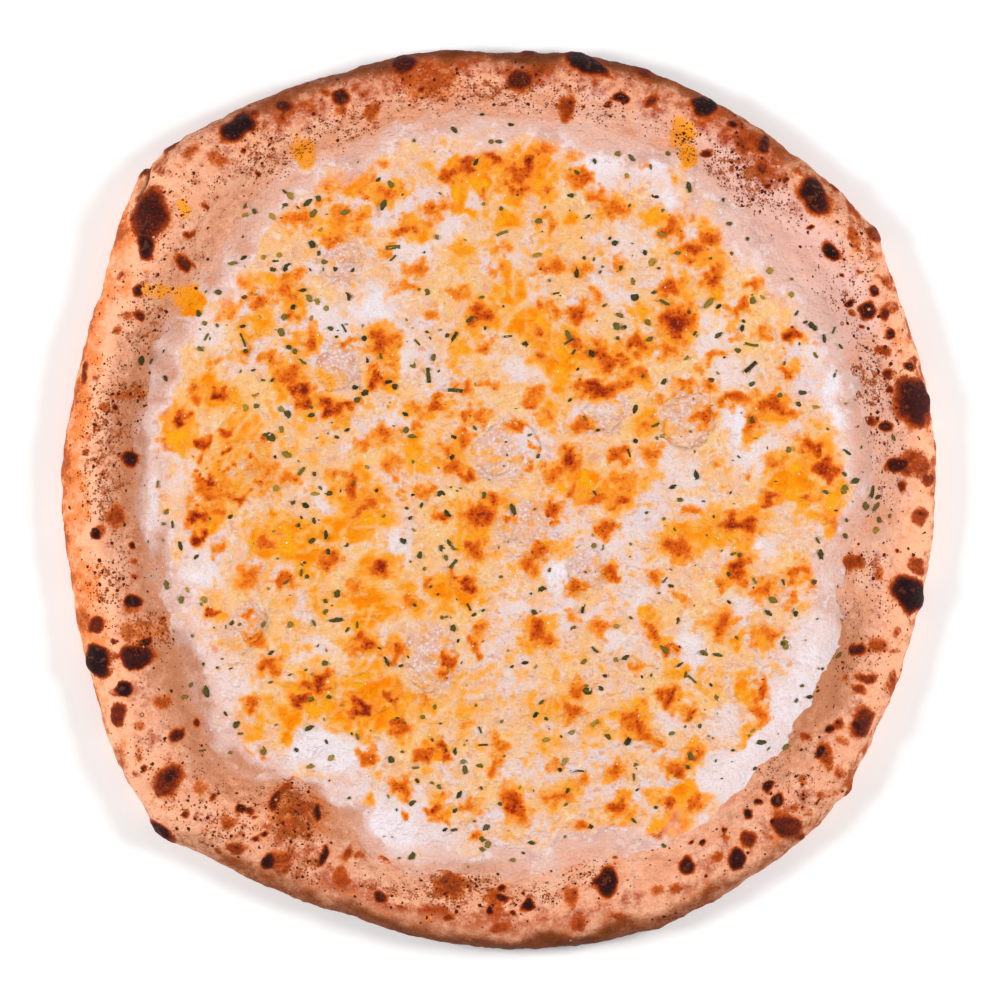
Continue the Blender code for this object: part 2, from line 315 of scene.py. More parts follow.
# %% [markdown]
# ## The crust: a turned profile, then shaped
# A rim of dough is a ring, so its section is drawn once and spun round the middle, like clay on a
# wheel. The underside, the belly, the crest and the slope down to the floor are all one line, and
# most of its points lie where the rim shows. After the spin every point moves to the real outline
# and height. Sculpting would give a less exact outline, and a cut cylinder could not be rounded.

# %% Spin and shape the crust
CRUST_STEPS = 1300            # about 0.7 mm apart round the outer edge
BELLY_ROWS = 10
CREST_ROWS = 20
SLOPE_ROWS = 34
SLOPE_ENDS = -0.12            # the fine rows reach a little under the cheese
RIM_SWELL = 0.7 * MM          # how uneven the rim is, in waves of RIM_SWELL_SIZE
RIM_SWELL_SIZE = 16 * MM


def crust_profile():
    """Half of the section as (distance, height), from the underside's middle over the crest."""
    width = NOMINAL_REACH - NOMINAL_EDGE
    belly = BELLY_AT * RIM_HEIGHT
    points = [(0, 0), (0.5 * NOMINAL_EDGE, 0), (0.9 * NOMINAL_EDGE, 0), (1.05 * NOMINAL_EDGE, 0)]
    lower = np.linspace(-80, 0, BELLY_ROWS)
    upper = np.linspace(0, 90, CREST_ROWS)[1:]
    for angle in np.radians(np.concatenate([lower, upper])):
        across = CREST_AT + (1 - CREST_AT) * math.cos(angle)
        reach = RIM_HEIGHT - belly if angle > 0 else belly
        points.append((NOMINAL_EDGE + across * width, max(belly + reach * math.sin(angle), 0)))
    for share in np.linspace(CREST_AT, SLOPE_ENDS, SLOPE_ROWS)[1:]:
        points.append((NOMINAL_EDGE + share * width, float(slope_height(share, RIM_HEIGHT))))
    for share in (-0.2, -0.3, SLOPE_START):
        points.append((NOMINAL_EDGE + share * width, float(slope_height(share, RIM_HEIGHT))))
    return points + [(0.55 * NOMINAL_EDGE, BASE_THICKNESS), (0, BASE_THICKNESS)]


def to_mesh(work, name):
    """A finished bmesh as a mesh."""
    mesh = bpy.data.meshes.new(name)
    work.to_mesh(mesh)
    work.free()
    return mesh


def get_points(mesh, normals=False):
    """The mesh's points, or their normals, as rows of x, y and z."""
    values = np.empty(len(mesh.vertices) * 3, dtype=np.float32)
    if normals:
        mesh.vertex_normals.foreach_get("vector", values)
    else:
        mesh.vertices.foreach_get("co", values)
    return values.reshape(-1, 3).astype(float)


def set_points(mesh, points):
    """Moves the mesh's points to the given rows."""
    mesh.vertices.foreach_set("co", np.asarray(points, dtype=np.float32).ravel())
    mesh.update()


def spun_crust():
    """The section spun once round the middle, as a closed mesh."""
    work = bmesh.new()
    line = [work.verts.new((distance, 0, height)) for distance, height in crust_profile()]
    edges = [work.edges.new(pair) for pair in zip(line, line[1:])]
    bmesh.ops.spin(work, geom=line + edges, cent=(0, 0, 0), axis=(0, 0, 1),
                   angle=math.tau, steps=CRUST_STEPS, use_merge=True)
    bmesh.ops.remove_doubles(work, verts=work.verts, dist=0.01 * MM)
    bmesh.ops.recalc_face_normals(work, faces=work.faces)
    return to_mesh(work, "crust_fine")


def shape_crust(mesh):
    """Moves the turned points to the real outline and height, and returns their rim shares."""
    points = get_points(mesh)
    direction = np.degrees(np.arctan2(points[:, 1], points[:, 0]))
    flat = np.hypot(points[:, 0], points[:, 1])
    edge = around(EDGE_CURVE, direction) * MM
    share = (flat - NOMINAL_EDGE) / (NOMINAL_REACH - NOMINAL_EDGE)
    outward = edge + share * (outer_distance(direction) - edge)
    distance = np.where(share < 0, flat * edge / NOMINAL_EDGE, outward)
    x = distance * np.cos(np.radians(direction))
    y = distance * np.sin(np.radians(direction))
    on_top = ease(points[:, 2] / RIM_HEIGHT, 0.35, 0.75)
    uneven = RIM_SWELL * rough(np.column_stack([x, y, 0 * x]), RIM_SWELL_SIZE) * on_top
    raised = np.maximum(on_top, ease(share, -0.4, 0.1) * (points[:, 2] > MM))
    lift = mounds(x, y, CRUST_BUBBLES) * raised
    z = points[:, 2] * rim_stretch(share, direction) + uneven + lift
    z = np.maximum(z, 0)
    set_points(mesh, np.column_stack([x, y, z]))
    return share


crust_mesh = spun_crust()
crust_share = shape_crust(crust_mesh)
shaped = get_points(crust_mesh)
CENTRING = -(shaped.min(axis=0) + shaped.max(axis=0)) / 2 * (1, 1, 0)
print("crust faces:", len(crust_mesh.polygons), " centring shift:", CENTRING.round(5))

# %% [markdown]
# ## Char spots, blisters and specks
# In a very hot oven the thinnest bubbles of the rim scorch first. Bakers call it leoparding:
# black hearts, a dark brown ring, an orange-brown halo, and clouds of tiny specks. The list holds
# each spot as seen: level 1 is black, 0.8 dark, 0.5 brown and 0.35 orange-brown.

# %% The scorched spots of the crust
CHARS = (
    (240, 130, 34, 21, 1, 35), (153, 217, 50, 33, .8, 80), (150, 248, 28, 18, .95, 90),
    (192, 153, 26, 11, .4, 38), (219, 160, 20, 17, .35), (165, 174, 24, 13, .35, -20),
    (184, 264, 14, 14, .7), (126, 279, 16, 11, .4, 15), (285, 108, 22, 14, .75),
    (283, 121, 8, 9, .5), (257, 117, 9, 8, .6), (245, 154, 6, 5, .85), (257, 173, 4, 5, .9),
    (207, 206, 7, 4, .6), (192, 234, 8, 7, .6), (193, 267, 5, 4, .5), (136, 267, 6, 5, .45),
    (172, 148, 20, 6, .7, 30), (145, 173, 16, 8, .6, 50), (326, 96, 14, 9, .4),
    (308, 105, 16, 7, .4), (342, 100, 16, 14, .8), (342, 113, 14, 12, .35),
    (373, 114, 16, 15, .4, 60), (405, 67, 24, 18, .8), (428, 80, 60, 44, .3), (423, 91, 6, 5, .7),
    (520, 83, 24, 20, .75), (538, 73, 22, 14, .5, 30), (529, 56, 14, 9, .7),
    (586, 67, 46, 16, 1, -28), (645, 73, 26, 13, .65, -20), (566, 108, 26, 15, .5, 70),
    (620, 100, 15, 9, .95, -10), (605, 106, 5, 4, .8), (608, 101, 4, 3, .8), (584, 110, 3, 3, .9),
    (650, 104, 14, 11, .65, 90), (702, 108, 26, 18, 1, -15), (702, 122, 14, 12, .4),
    (730, 128, 8, 7, .9), (738, 127, 10, 8, .5), (748, 145, 24, 16, .5), (764, 148, 14, 14, .8),
    (704, 154, 9, 5, .75), (760, 171, 16, 13, .65, 90), (796, 173, 9, 8, .45), (785, 181, 5, 4, .8),
    (764, 190, 5, 4, .8), (812, 197, 38, 24, .95, -60), (820, 203, 22, 20, .45),
    (808, 229, 5, 5, .85), (830, 252, 20, 11, 1, -42), (852, 240, 24, 9, .4, -60),
    (875, 256, 14, 9, .35, -20), (873, 235, 16, 12, .6, -60), (852, 212, 24, 8, .5, -55),
    (835, 187, 14, 8, .6, -40), (857, 275, 6, 5, .5), (841, 278, 4, 3, .9), (878, 278, 10, 6, .4),
    (887, 283, 18, 10, .4, -55), (870, 295, 10, 10, .9), (850, 304, 10, 6, .95, 35),
    (866, 311, 14, 12, .9, 45), (852, 315, 8, 7, .5), (882, 316, 16, 11, .75, 90),
    (889, 309, 18, 16, .4), (889, 334, 10, 9, .95), (861, 325, 5, 3, .8), (881, 352, 14, 10, .5),
    (896, 352, 6, 5, .4), (904, 366, 9, 8, .9), (910, 363, 16, 16, .45), (886, 375, 12, 10, .75),
    (886, 390, 7, 6, .7), (911, 402, 48, 34, .85, -72), (872, 422, 10, 8, .6),
    (885, 427, 12, 9, .85), (897, 465, 20, 12, .85), (913, 466, 32, 26, .5), (925, 479, 14, 12, .6),
    (900, 486, 8, 7, .6), (934, 446, 16, 6, .45, 90), (930, 494, 9, 4, .4), (916, 517, 17, 18, .5),
    (853, 563, 20, 16, .55), (875, 572, 12, 8, .4, 90), (895, 552, 3, 3, .9),
    (914, 565, 26, 12, .5, -58), (907, 593, 36, 28, 1, -60), (898, 631, 14, 12, .4),
    (857, 648, 13, 11, .8), (877, 644, 22, 15, .45), (895, 650, 12, 8, .35), (865, 675, 26, 9, .6),
    (891, 680, 20, 8, .45, 75), (843, 678, 8, 6, .35), (858, 689, 15, 10, .5, -30),
    (859, 722, 30, 20, .7, 60), (853, 722, 10, 9, .9), (827, 727, 9, 8, .95),
    (833, 722, 12, 10, .5), (840, 741, 14, 10, .4, -30), (805, 737, 10, 8, .5),
    (816, 752, 10, 7, .95, 60), (823, 756, 28, 14, .5, -60), (840, 771, 13, 11, .4),
    (801, 780, 10, 8, .3), (769, 786, 12, 8, .95, 30), (776, 799, 14, 10, 1, 20),
    (756, 803, 8, 7, .9), (745, 812, 8, 7, .9), (793, 803, 8, 7, .4), (820, 795, 13, 10, .4),
    (816, 802, 4, 3, .9), (785, 822, 32, 20, .7, -55), (773, 818, 7, 6, .9),
    (795, 834, 16, 8, .6, -20), (770, 834, 10, 6, .35), (808, 812, 12, 8, .35),
    (808, 823, 12, 6, .35, 20), (847, 790, 14, 7, .5, 70), (748, 838, 18, 13, .65, -60),
    (735, 857, 19, 14, .9, 80), (715, 853, 13, 8, .4), (722, 829, 5, 5, .85), (723, 836, 8, 7, .35),
    (693, 843, 4, 4, .9), (703, 843, 4, 4, .9), (685, 863, 14, 13, .85), (657, 890, 16, 12, .35),
    (675, 885, 12, 9, .4), (606, 882, 28, 20, .95, 80), (570, 894, 17, 16, .45),
    (615, 858, 6, 4, .7, -30), (618, 914, 20, 10, .5), (577, 921, 16, 13, .45),
    (527, 904, 13, 9, .95), (513, 908, 6, 4, .9), (490, 907, 8, 7, .95), (503, 896, 13, 6, .85),
    (502, 886, 8, 6, .85), (495, 895, 22, 20, .4), (448, 916, 11, 8, .65), (450, 885, 32, 22, .5),
    (382, 894, 14, 12, .8), (402, 900, 6, 4, .6), (498, 925, 20, 12, .5), (475, 940, 16, 10, .5),
    (384, 856, 11, 8, .4), (361, 853, 11, 10, .4), (348, 853, 12, 9, .5, 90),
    (342, 874, 17, 15, .45, 90), (324, 853, 17, 7, .95, 75), (270, 860, 15, 12, .95, 60),
    (283, 860, 26, 22, .45), (258, 835, 8, 7, .85), (268, 832, 5, 5, .85),
    (238, 846, 20, 13, .55, -20), (220, 848, 9, 8, .45), (230, 820, 15, 12, .45),
    (241, 806, 10, 9, .95), (250, 809, 10, 8, .65), (256, 815, 5, 4, .7), (188, 814, 7, 6, .7),
    (204, 786, 15, 12, .35), (170, 779, 32, 26, .65, 40), (172, 776, 13, 11, .95),
    (215, 797, 6, 4, .6, 80), (164, 828, 30, 9, .95, -42), (140, 772, 15, 12, .35),
    (143, 755, 16, 9, .35, -70), (151, 765, 5, 4, .8), (176, 733, 14, 12, .75),
    (196, 722, 9, 8, .75), (142, 728, 11, 9, .4), (121, 714, 24, 15, .65, -80),
    (165, 702, 16, 16, .4), (129, 688, 18, 17, 1), (117, 690, 12, 10, .45),
    (100, 660, 32, 19, 1, -62), (112, 662, 20, 14, .45, 90), (138, 655, 30, 22, .85),
    (146, 641, 12, 8, .9), (153, 655, 14, 14, .4), (115, 642, 8, 7, .7), (100, 624, 14, 13, .7),
    (140, 631, 50, 20, .3), (163, 618, 8, 6, .6), (135, 600, 13, 10, .95), (135, 606, 14, 12, .4),
    (98, 533, 13, 10, 1, -35), (103, 531, 14, 12, .45), (134, 548, 7, 7, .9), (134, 560, 8, 6, .4),
    (135, 575, 8, 6, .4), (119, 516, 20, 16, .5, 80), (90, 453, 10, 8, .45),
    (129, 458, 16, 15, .95), (117, 407, 7, 6, .9), (105, 407, 8, 8, .4), (95, 398, 7, 7, .4),
    (99, 377, 9, 8, .4), (118, 331, 12, 11, .4), (130, 317, 20, 8, .3), (143, 318, 13, 9, .7, -20),
    (141, 293, 15, 13, .85), (117, 300, 7, 5, .4), (85, 372, 26, 8, .6, 75), (131, 394, 32, 8, .34),
    (297, 814, 58, 50, .27), (277, 800, 18, 10, .75, 75), (300, 806, 30, 12, .45),
    (317, 814, 13, 7, .95, 80), (308, 833, 6, 5, .8), (291, 822, 24, 14, .45, 50),
    (285, 788, 14, 8, .5, 20),
)
# Clouds of specks: (x, y, half length, half width, density).
SPECKS = (
    (265, 155, 30, 28, .9), (280, 150, 30, 20, .6), (360, 125, 50, 25, .6), (430, 90, 60, 25, .5),
    (500, 90, 70, 22, .8), (560, 100, 40, 20, .7), (610, 110, 30, 15, .5), (700, 130, 60, 15, .3),
    (735, 170, 35, 28, 1), (760, 190, 40, 25, .8), (800, 210, 40, 20, .4), (850, 270, 30, 40, .5),
    (850, 300, 20, 20, .6), (868, 380, 32, 26, 1), (870, 345, 25, 20, .6), (885, 440, 25, 40, .5),
    (880, 500, 20, 25, .3), (855, 565, 25, 15, .9), (870, 600, 30, 30, .4), (860, 660, 30, 30, .5),
    (800, 770, 40, 30, .4), (785, 800, 30, 20, .4), (590, 875, 30, 18, .7), (530, 893, 30, 10, .8),
    (450, 885, 45, 25, 1), (400, 890, 30, 15, .5), (310, 865, 25, 18, .9), (295, 812, 32, 38, 1),
    (230, 820, 40, 25, .6), (200, 800, 40, 30, .4), (160, 755, 25, 25, .4), (150, 630, 40, 20, 1),
    (110, 585, 22, 35, .9), (105, 470, 22, 60, .9), (110, 420, 25, 40, .9), (130, 394, 28, 12, 1),
    (140, 330, 30, 25, .6), (145, 315, 25, 12, .8), (200, 190, 30, 25, .3), (170, 250, 30, 40, .3),
    (125, 540, 20, 30, .4), (115, 375, 20, 20, .6), (115, 485, 25, 10, 1),
    (305, 150, 12, 13, 1), (685, 145, 14, 24, 1), (187, 210, 8, 10, 1), (160, 291, 20, 8, 1),
    (866, 388, 24, 20, 1), (130, 396, 26, 10, 1), (295, 826, 24, 24, 1),
)
# Cheese that landed on the crust, and the streak that ran off it into the pizza.
STRAY_CHEESE = (
    (305, 154, 11, 15, .9), (187, 210, 7, 10, .8), (682, 134, 13, 14, .9), (688, 156, 9, 15, .9),
    (673, 178, 4, 5, .7), (190, 300, 15, 15, 1.3), (163, 292, 18, 7, .8),
)
print(len(CHARS), "char spots and", len(SPECKS), "clouds of specks")

# %% [markdown]
# ## How the crust browns round the pizza, with painted shade and light
# The far and near edges are toasted brown and hold painted shade as well. The left edge, and a
# little of the right, is orange and paler: baked colour and painted light together. The foot of
# the slope is darker: oily dough and painted shade together. Each of these is one value that
# changes with the direction, on the same sort of curve as the outline. A shader could not know
# the direction from noise alone. One more curve says where the melt ends in a clean white border.
# Elsewhere it thins out to a film.

# %% Browning, painted shade and painted light by direction
# The far and near outer edges: toasted brown and painted shade together.
DARK_SKIRT_AND_SHADE = ((0, 0), (24, .03), (40, .45), (60, .75), (80, 1), (100, .95), (120, .7), (134, .35),
              (143, .05), (170, 0), (216, .02), (228, .5), (245, .8), (280, 1), (300, .65),
              (315, .4), (328, .08))
# Orange and paler on the left, less on the right: baked colour and painted light together.
ORANGE_AND_LIT_SKIRT = ((0, .4), (14, .45), (30, .1), (60, .05), (132, .1), (142, .8), (165, 1), (190, .9),
                (205, .8), (216, .25), (228, .2), (330, .2))
CREST_BROWN = ((0, .15), (12, .6), (24, .1), (42, .3), (50, .8), (62, .85), (75, .6), (88, .7),
               (98, .8), (110, .7), (120, .8), (132, .3), (145, .3), (160, 0), (190, .05), (204, .5),
               (214, .3), (228, .2), (240, .75), (265, .9), (278, .8), (290, .45), (302, .55),
               (315, .45), (326, .2), (336, .2), (348, .25))
# Darker at the foot of the slope: oily dough and painted shade in the crease together.
OILY_SHADED_FOOT = ((0, .1), (30, .1), (60, .15), (100, .25), (124, .2), (148, .6), (168, 1), (190, .75),
             (204, 1), (230, .7), (240, 1), (252, .2), (264, .7), (278, .15), (300, .15), (318, .6),
             (326, 1), (338, 1), (346, .2))
WHITE_BORDER = ((0, 0), (286, 0), (298, .7), (312, 1), (336, 1), (344, .3), (352, 0))
FLOURY = ((0, .45), (20, .6), (30, 1), (50, 1), (64, .6), (90, .4), (130, .15), (165, .2),
          (190, .4), (215, .3), (235, .1), (300, .25), (330, .3))


def on_curve(pairs, direction):
    """The softened curve through (direction, value) pairs, at directions in degrees."""
    return around(ring_curve(pairs, softness=5), direction)


def crust_fields(mesh, share):
    """Every mask of the crust at the mesh's points, by name."""
    points = get_points(mesh)
    x, y, z = points.T
    direction = np.degrees(np.arctan2(y, x))
    flat = ragged(points, (2.4 * MM, 0.6 * MM), (7 * MM, 1.7 * MM))
    upward = ease(z / RIM_HEIGHT, 0.10, 0.40)
    across = rim_share(x, y) + 0.14 * rough(points, 11 * MM, 3.1)
    # The dark skirt is toasted brown and painted shade together, on the outer band and low side.
    low_side = 1 - ease(z / RIM_HEIGHT, 0.25, 0.62)
    outer_band = np.where(share > CREST_AT, np.maximum(ease(across, 0.66, 0.94), low_side), 0)
    dark = on_curve(DARK_SKIRT_AND_SHADE, direction) * outer_band
    # Orange is baked colour and painted light of the lit sides together.
    orange = on_curve(ORANGE_AND_LIT_SKIRT, direction) * ease(across, 0.40, 0.9)
    crest = on_curve(CREST_BROWN, direction) * ease(across, 0.28, 0.58)
    # The foot is oily dough and painted shade in the crease together.
    foot = on_curve(OILY_SHADED_FOOT, direction) * (1 - ease(across, 0.15, 0.70))
    outermost = np.where(share > CREST_AT, ease(across, 0.76, 1.0), 0)
    flour = on_curve(FLOURY, direction) * (1 - ease(across, 0.45, 0.8))
    return {
        "char": field(flat, CHARS, inner=0.6, outer=1.55, halo=0.12) * upward,
        "speck": pools(flat, SPECKS) * upward,
        "stray": pools(flat, STRAY_CHEESE, 0.4, 1.5) * upward,
        "dark": dark, "orange": orange, "crest": crest, "foot": foot, "flour": flour,
        "edge": outermost * (1 - 0.8 * on_curve(DARK_SKIRT_AND_SHADE, direction)),
        "film": (1 - ease(across, -0.10, 0.16)) * (1 - on_curve(WHITE_BORDER, direction)),
        "under": 1 - ease(z, 0.4 * MM, 2.6 * MM),
    }


crust_marks = crust_fields(crust_mesh, crust_share)
store(crust_mesh, **crust_marks)
print("charred points:", int((crust_marks["char"] > 0.7).sum()))

# %% [markdown]
# ## Fine relief of the crust
# Baked dough is lumpy at every scale, and each scorched blister stands a little proud. The points
# move along their own normals by three sizes of noise, so the side is as rough as the top. One
# fold runs in from a notch at the top left, where the stretched dough was pinched over itself.

# %% Blisters, lumps and the fold
FOLD_PX = ((150, 168), (149, 176), (147, 184), (143, 193), (139, 203))
FOLD_DEPTH = 1.6 * MM
FOLD_HALF_WIDTH = 0.8 * MM


def line_distance(x, y, corners):
    """Distance of each place from a line with corners."""
    nearest = np.full(len(x), 1.0)
    for start, end in zip(corners, corners[1:]):
        run = np.subtract(end, start)
        part = ((x - start[0]) * run[0] + (y - start[1]) * run[1]) / (run @ run)
        part = np.clip(part, 0, 1)
        away = np.hypot(x - start[0] - part * run[0], y - start[1] - part * run[1])
        nearest = np.minimum(nearest, away)
    return nearest


def roughen_crust(mesh, marks, share):
    """Moves the points by the fine relief, and returns how deep in the fold each one is."""
    points = get_points(mesh)
    normals = get_points(mesh, normals=True)
    live = ease(share, -0.15, 0.05) * (1 - 0.85 * marks["under"])
    relief = 0.75 * rough(points, 6.5 * MM, 1.7) + 0.30 * rough(points, 2.6 * MM, 5.3)
    relief += 0.12 * rough(points, 1.3 * MM, 9.1)
    relief += 0.55 * ease(marks["char"], 0.15, 0.75) + 0.35 * marks["stray"]
    relief *= MM * live
    fold = line_distance(points[:, 0], points[:, 1], [from_pixels(*place) for place in FOLD_PX])
    on_rim = (share > 0) * ease(points[:, 2], 4 * MM, 9 * MM)
    crease = np.exp(-((fold / FOLD_HALF_WIDTH) ** 2)) * on_rim
    relief -= FOLD_DEPTH * crease
    moved = points + normals * relief[:, None] + CENTRING
    moved[:, 2] = np.maximum(moved[:, 2], 0)
    set_points(mesh, moved)
    return crease


store(crust_mesh, fold=roughen_crust(crust_mesh, crust_marks, crust_share))
print("relief done on", len(crust_mesh.vertices), "points")

# %% [markdown]
# ## Breaking up the edge of a stain
# Bubbles and curds tear the edge of every stain, and a field alone would look airbrushed. So noise
# with waves of real sizes is added to a mask, but only where the mask is above zero. Specks are
# dots in the cells of a Voronoi pattern, and a dot shows if its cell's random value is below the
# density. Scattered meshes would cost far more faces, and dots this small have no height.

# %% Helpers that break up the edge of a stain
def surface_inputs(tree, masks, sizes):
    """The stored masks, and noises centred on zero with waves of the given sizes in metres."""
    place = add(tree, "ShaderNodeTexCoord").outputs["Object"]
    stored = {name: add(tree, "ShaderNodeAttribute", attribute_name=name).outputs["Fac"]
              for name in masks}
    waves = {}
    for name, size in sizes.items():
        source = add(tree, "ShaderNodeTexNoise", {"Vector": place, "Scale": 1 / size,
                                                  "Detail": 3, "Roughness": 0.5})
        waves[name] = add(tree, "ShaderNodeMath", {0: source.outputs[0], 1: 0.5},
                          operation="SUBTRACT").outputs[0]
    return place, stored, waves


def broken(tree, mask, *pushes):
    """The mask with its border moved by (wave, amount) noises, and still zero where it was zero."""
    push = 0
    for wave, amount in pushes:
        push = add(tree, "ShaderNodeMath", {0: wave, 1: amount, 2: push},
                   operation="MULTIPLY_ADD").outputs[0]
    gate = add(tree, "ShaderNodeMapRange", {0: mask, 1: 0.0, 2: 0.12}).outputs[0]
    return add(tree, "ShaderNodeMath", {0: push, 1: gate, 2: mask},
               operation="MULTIPLY_ADD").outputs[0]


def speck_dots(tree, place, density, spacing, share, smallest, spread, soft=0.12):
    """Dots of uneven size in some Voronoi cells. Where density is 1, share of them show."""
    cells = add(tree, "ShaderNodeTexVoronoi", {"Vector": place, "Scale": 1 / spacing})
    lots = add(tree, "ShaderNodeSeparateColor", {0: cells.outputs["Color"]}).outputs
    scatter = add(tree, "ShaderNodeMath", {0: density, 1: share, 2: 0.06},
                  operation="MULTIPLY_ADD").outputs[0]
    chosen = add(tree, "ShaderNodeMath", {0: lots[0], 1: scatter}, operation="LESS_THAN").outputs[0]
    radius = add(tree, "ShaderNodeMath", {0: lots[1], 1: spread, 2: smallest},
                 operation="MULTIPLY_ADD").outputs[0]
    rim = add(tree, "ShaderNodeMath", {0: radius, 1: soft}, operation="ADD").outputs[0]
    dot = add(tree, "ShaderNodeMapRange", {0: cells.outputs["Distance"], 1: rim, 2: radius},
              interpolation_type="SMOOTHSTEP").outputs[0]
    return add(tree, "ShaderNodeMath", {0: dot, 1: chosen}, operation="MULTIPLY").outputs[0]


def finish_surface(tree, shader, skin, roughness, heights, depth):
    """Joins colour, roughness and a bump whose (wave, amount) heights are depth metres deep."""
    height = 0
    for wave, amount in heights:
        height = add(tree, "ShaderNodeMath", {0: wave, 1: amount, 2: height},
                     operation="MULTIPLY_ADD").outputs[0]
    bump = add(tree, "ShaderNodeBump", {"Height": height, "Strength": 1.0, "Distance": depth})
    tree.links.new(skin, shader.inputs["Base Color"])
    tree.links.new(roughness, shader.inputs["Roughness"])
    tree.links.new(bump.outputs[0], shader.inputs["Normal"])
    shader.inputs["IOR"].default_value = 1.45


print("helpers are ready")

# %% [markdown]
# ## The finish of baked dough
# Baked wheat dough is matt and floury, pale where it stayed soft and brown where sugars toasted.
# The ground colour wanders between pale tans. Over it come flour, the foot of the slope, darker
# with oil and painted shade, a film of cheese, the brownings with painted shade on the far and
# near edges and painted light on the orange sides, the char spots, the fold with painted shade in
# its crease, and three sizes of specks, 0.9 to 4.2 mm apart. The largest are rings, as burst
# bubbles leave. Pores are bump alone, since they are finer than the mesh.

# %% Dough material
FINE_SPECKS = 0.9 * MM        # spacing of the cells that hold a speck each
BIG_SPECKS = 2.1 * MM
RING_SPECKS = 4.2 * MM


def dough_material():
    """Baked dough: a pale ground, then flour, stains, scorches, painted shade and light, and specks.
    """
    material, tree, shader = new_material("baked_dough")
    place, masks, waves = surface_inputs(
        tree, ("char", "speck", "stray", "dark", "orange", "crest", "foot", "flour", "edge",
               "film", "under", "fold"),
        {"broad": 10 * MM, "mottle": 3 * MM, "grain": 0.9 * MM, "pores": 0.35 * MM})
    broad, mottle, grain, pores = waves.values()
    char = broken(tree, masks["char"], (mottle, 0.45), (grain, 0.4))
    dark = broken(tree, masks["dark"], (broad, 0.5), (mottle, 0.4), (grain, 0.35))
    wobble = add(tree, "ShaderNodeTexNoise", {"Vector": place, "Scale": 1 / (0.8 * MM)})
    bent = add(tree, "ShaderNodeVectorMath", {0: wobble.outputs["Color"], 1: (0.9 * MM,) * 3,
                                              2: place}, operation="MULTIPLY_ADD").outputs[0]
    density = broken(tree, masks["speck"], (broad, 1.8), (mottle, 1.8))
    fine_specks = speck_dots(tree, bent, density, FINE_SPECKS, 0.95, 0.12, 0.30)
    big_specks = speck_dots(tree, bent, density, BIG_SPECKS, 0.55, 0.08, 0.22)
    rings, ring_hearts = [speck_dots(tree, place, density, RING_SPECKS, 0.22, size, 0.09, soft=0.03)
                          for size in (0.10, 0.04)]
    heart = add(tree, "ShaderNodeMath", {0: char, 1: mottle}, operation="MULTIPLY").outputs[0]
    ground = paint_layers(tree, colour("#efa782"), [
        (broad, -0.10, 0.15, colour("#f7bc9a")),
        (mottle, 0.00, 0.20, colour("#e0926a")),
        (grain, 0.05, 0.24, colour("#dc8f68")),
        (grain, -0.08, -0.26, colour("#fccdb3")),
    ])
    skin = paint_layers(tree, ground, [
        (broken(tree, masks["flour"], (broad, 1.2), (mottle, 1.2)), 0.15, 1.1, colour("#f4c2b4")),
        # Oily dough and painted shade: the foot of the slope is darker.
        (broken(tree, masks["foot"], (broad, 0.8), (mottle, 1.2), (grain, 0.6)),
         0.10, 1.10, colour("#ca835c")),
        (broken(tree, masks["film"], (broad, 1.0), (mottle, 1.2)), 0.10, 1.90, colour("#f0d2cc")),
        (char, 0.03, 0.30, colour("#d97438")),
        (broken(tree, masks["crest"], (broad, 2.4), (mottle, 1.4), (grain, 0.7)),
         0.10, 1.15, colour("#b1430a")),
        # These two orange layers are baked colour and painted light together; the first is paler.
        (masks["orange"], 0.02, 0.35, colour("#ffba92")),
        (broken(tree, masks["orange"], (broad, 2.0), (mottle, 1.6), (grain, 1.0)),
         0.20, 1.1, colour("#fd8a45")),
        (broken(tree, masks["edge"], (broad, 3.0), (mottle, 1.8), (grain, 1.2)),
         0.40, 1.60, colour("#b2501f")),
        (char, 0.20, 0.46, colour("#b1460e")),
        # Browning and painted shade together on the far and near edges and the lower outer side.
        (dark, 0.08, 0.92, colour("#944618")),
        (dark, 0.62, 1.36, colour("#44200c")),
        (broken(tree, masks["under"], (mottle, 0.8)), 0.40, 0.90, colour("#d9a071")),
        (broken(tree, masks["under"], (broad, 3.0), (mottle, 1.5)), 1.02, 1.25, colour("#7a4424")),
        (broken(tree, masks["speck"], (mottle, 3.2), (grain, 1.8)), 0.70, 1.40, colour("#b0561f")),
        (char, 0.38, 0.66, colour("#742409")),
        (char, 0.58, 0.84, colour("#3e100c")),
        (char, 0.80, 1.02, colour("#1c0a0c")),
        (heart, 0.05, 0.18, colour("#5c2a18")),
        (broken(tree, masks["stray"], (mottle, 1.4), (grain, 1.0)), 0.20, 0.50, colour("#f79c40")),
        (broken(tree, masks["stray"], (mottle, 2.0), (grain, 1.0)), 0.60, 1.0, colour("#ff9c14")),
        (fine_specks, 0.0, 1.1, colour("#7e3414")),
        (big_specks, 0.0, 1.0, colour("#541c0c")),
        (rings, 0.0, 1.0, colour("#4f1e10")),
        (ring_hearts, 0.0, 1.0, colour("#d79468")),
        # Painted shade: the crease of the fold is darker.
        (masks["fold"], 0.20, 1.0, colour("#7a3c22")),
    ])
    oily = add(tree, "ShaderNodeMapRange", {0: masks["foot"], 3: 0.62, 4: 0.38}).outputs[0]
    finish_surface(tree, shader, skin, oily, [(mottle, 1.6), (grain, 0.9), (pores, 0.45),
                                              (big_specks, -0.12)], 0.55 * MM)
    shader.inputs["Specular IOR Level"].default_value = 0.12
    return material


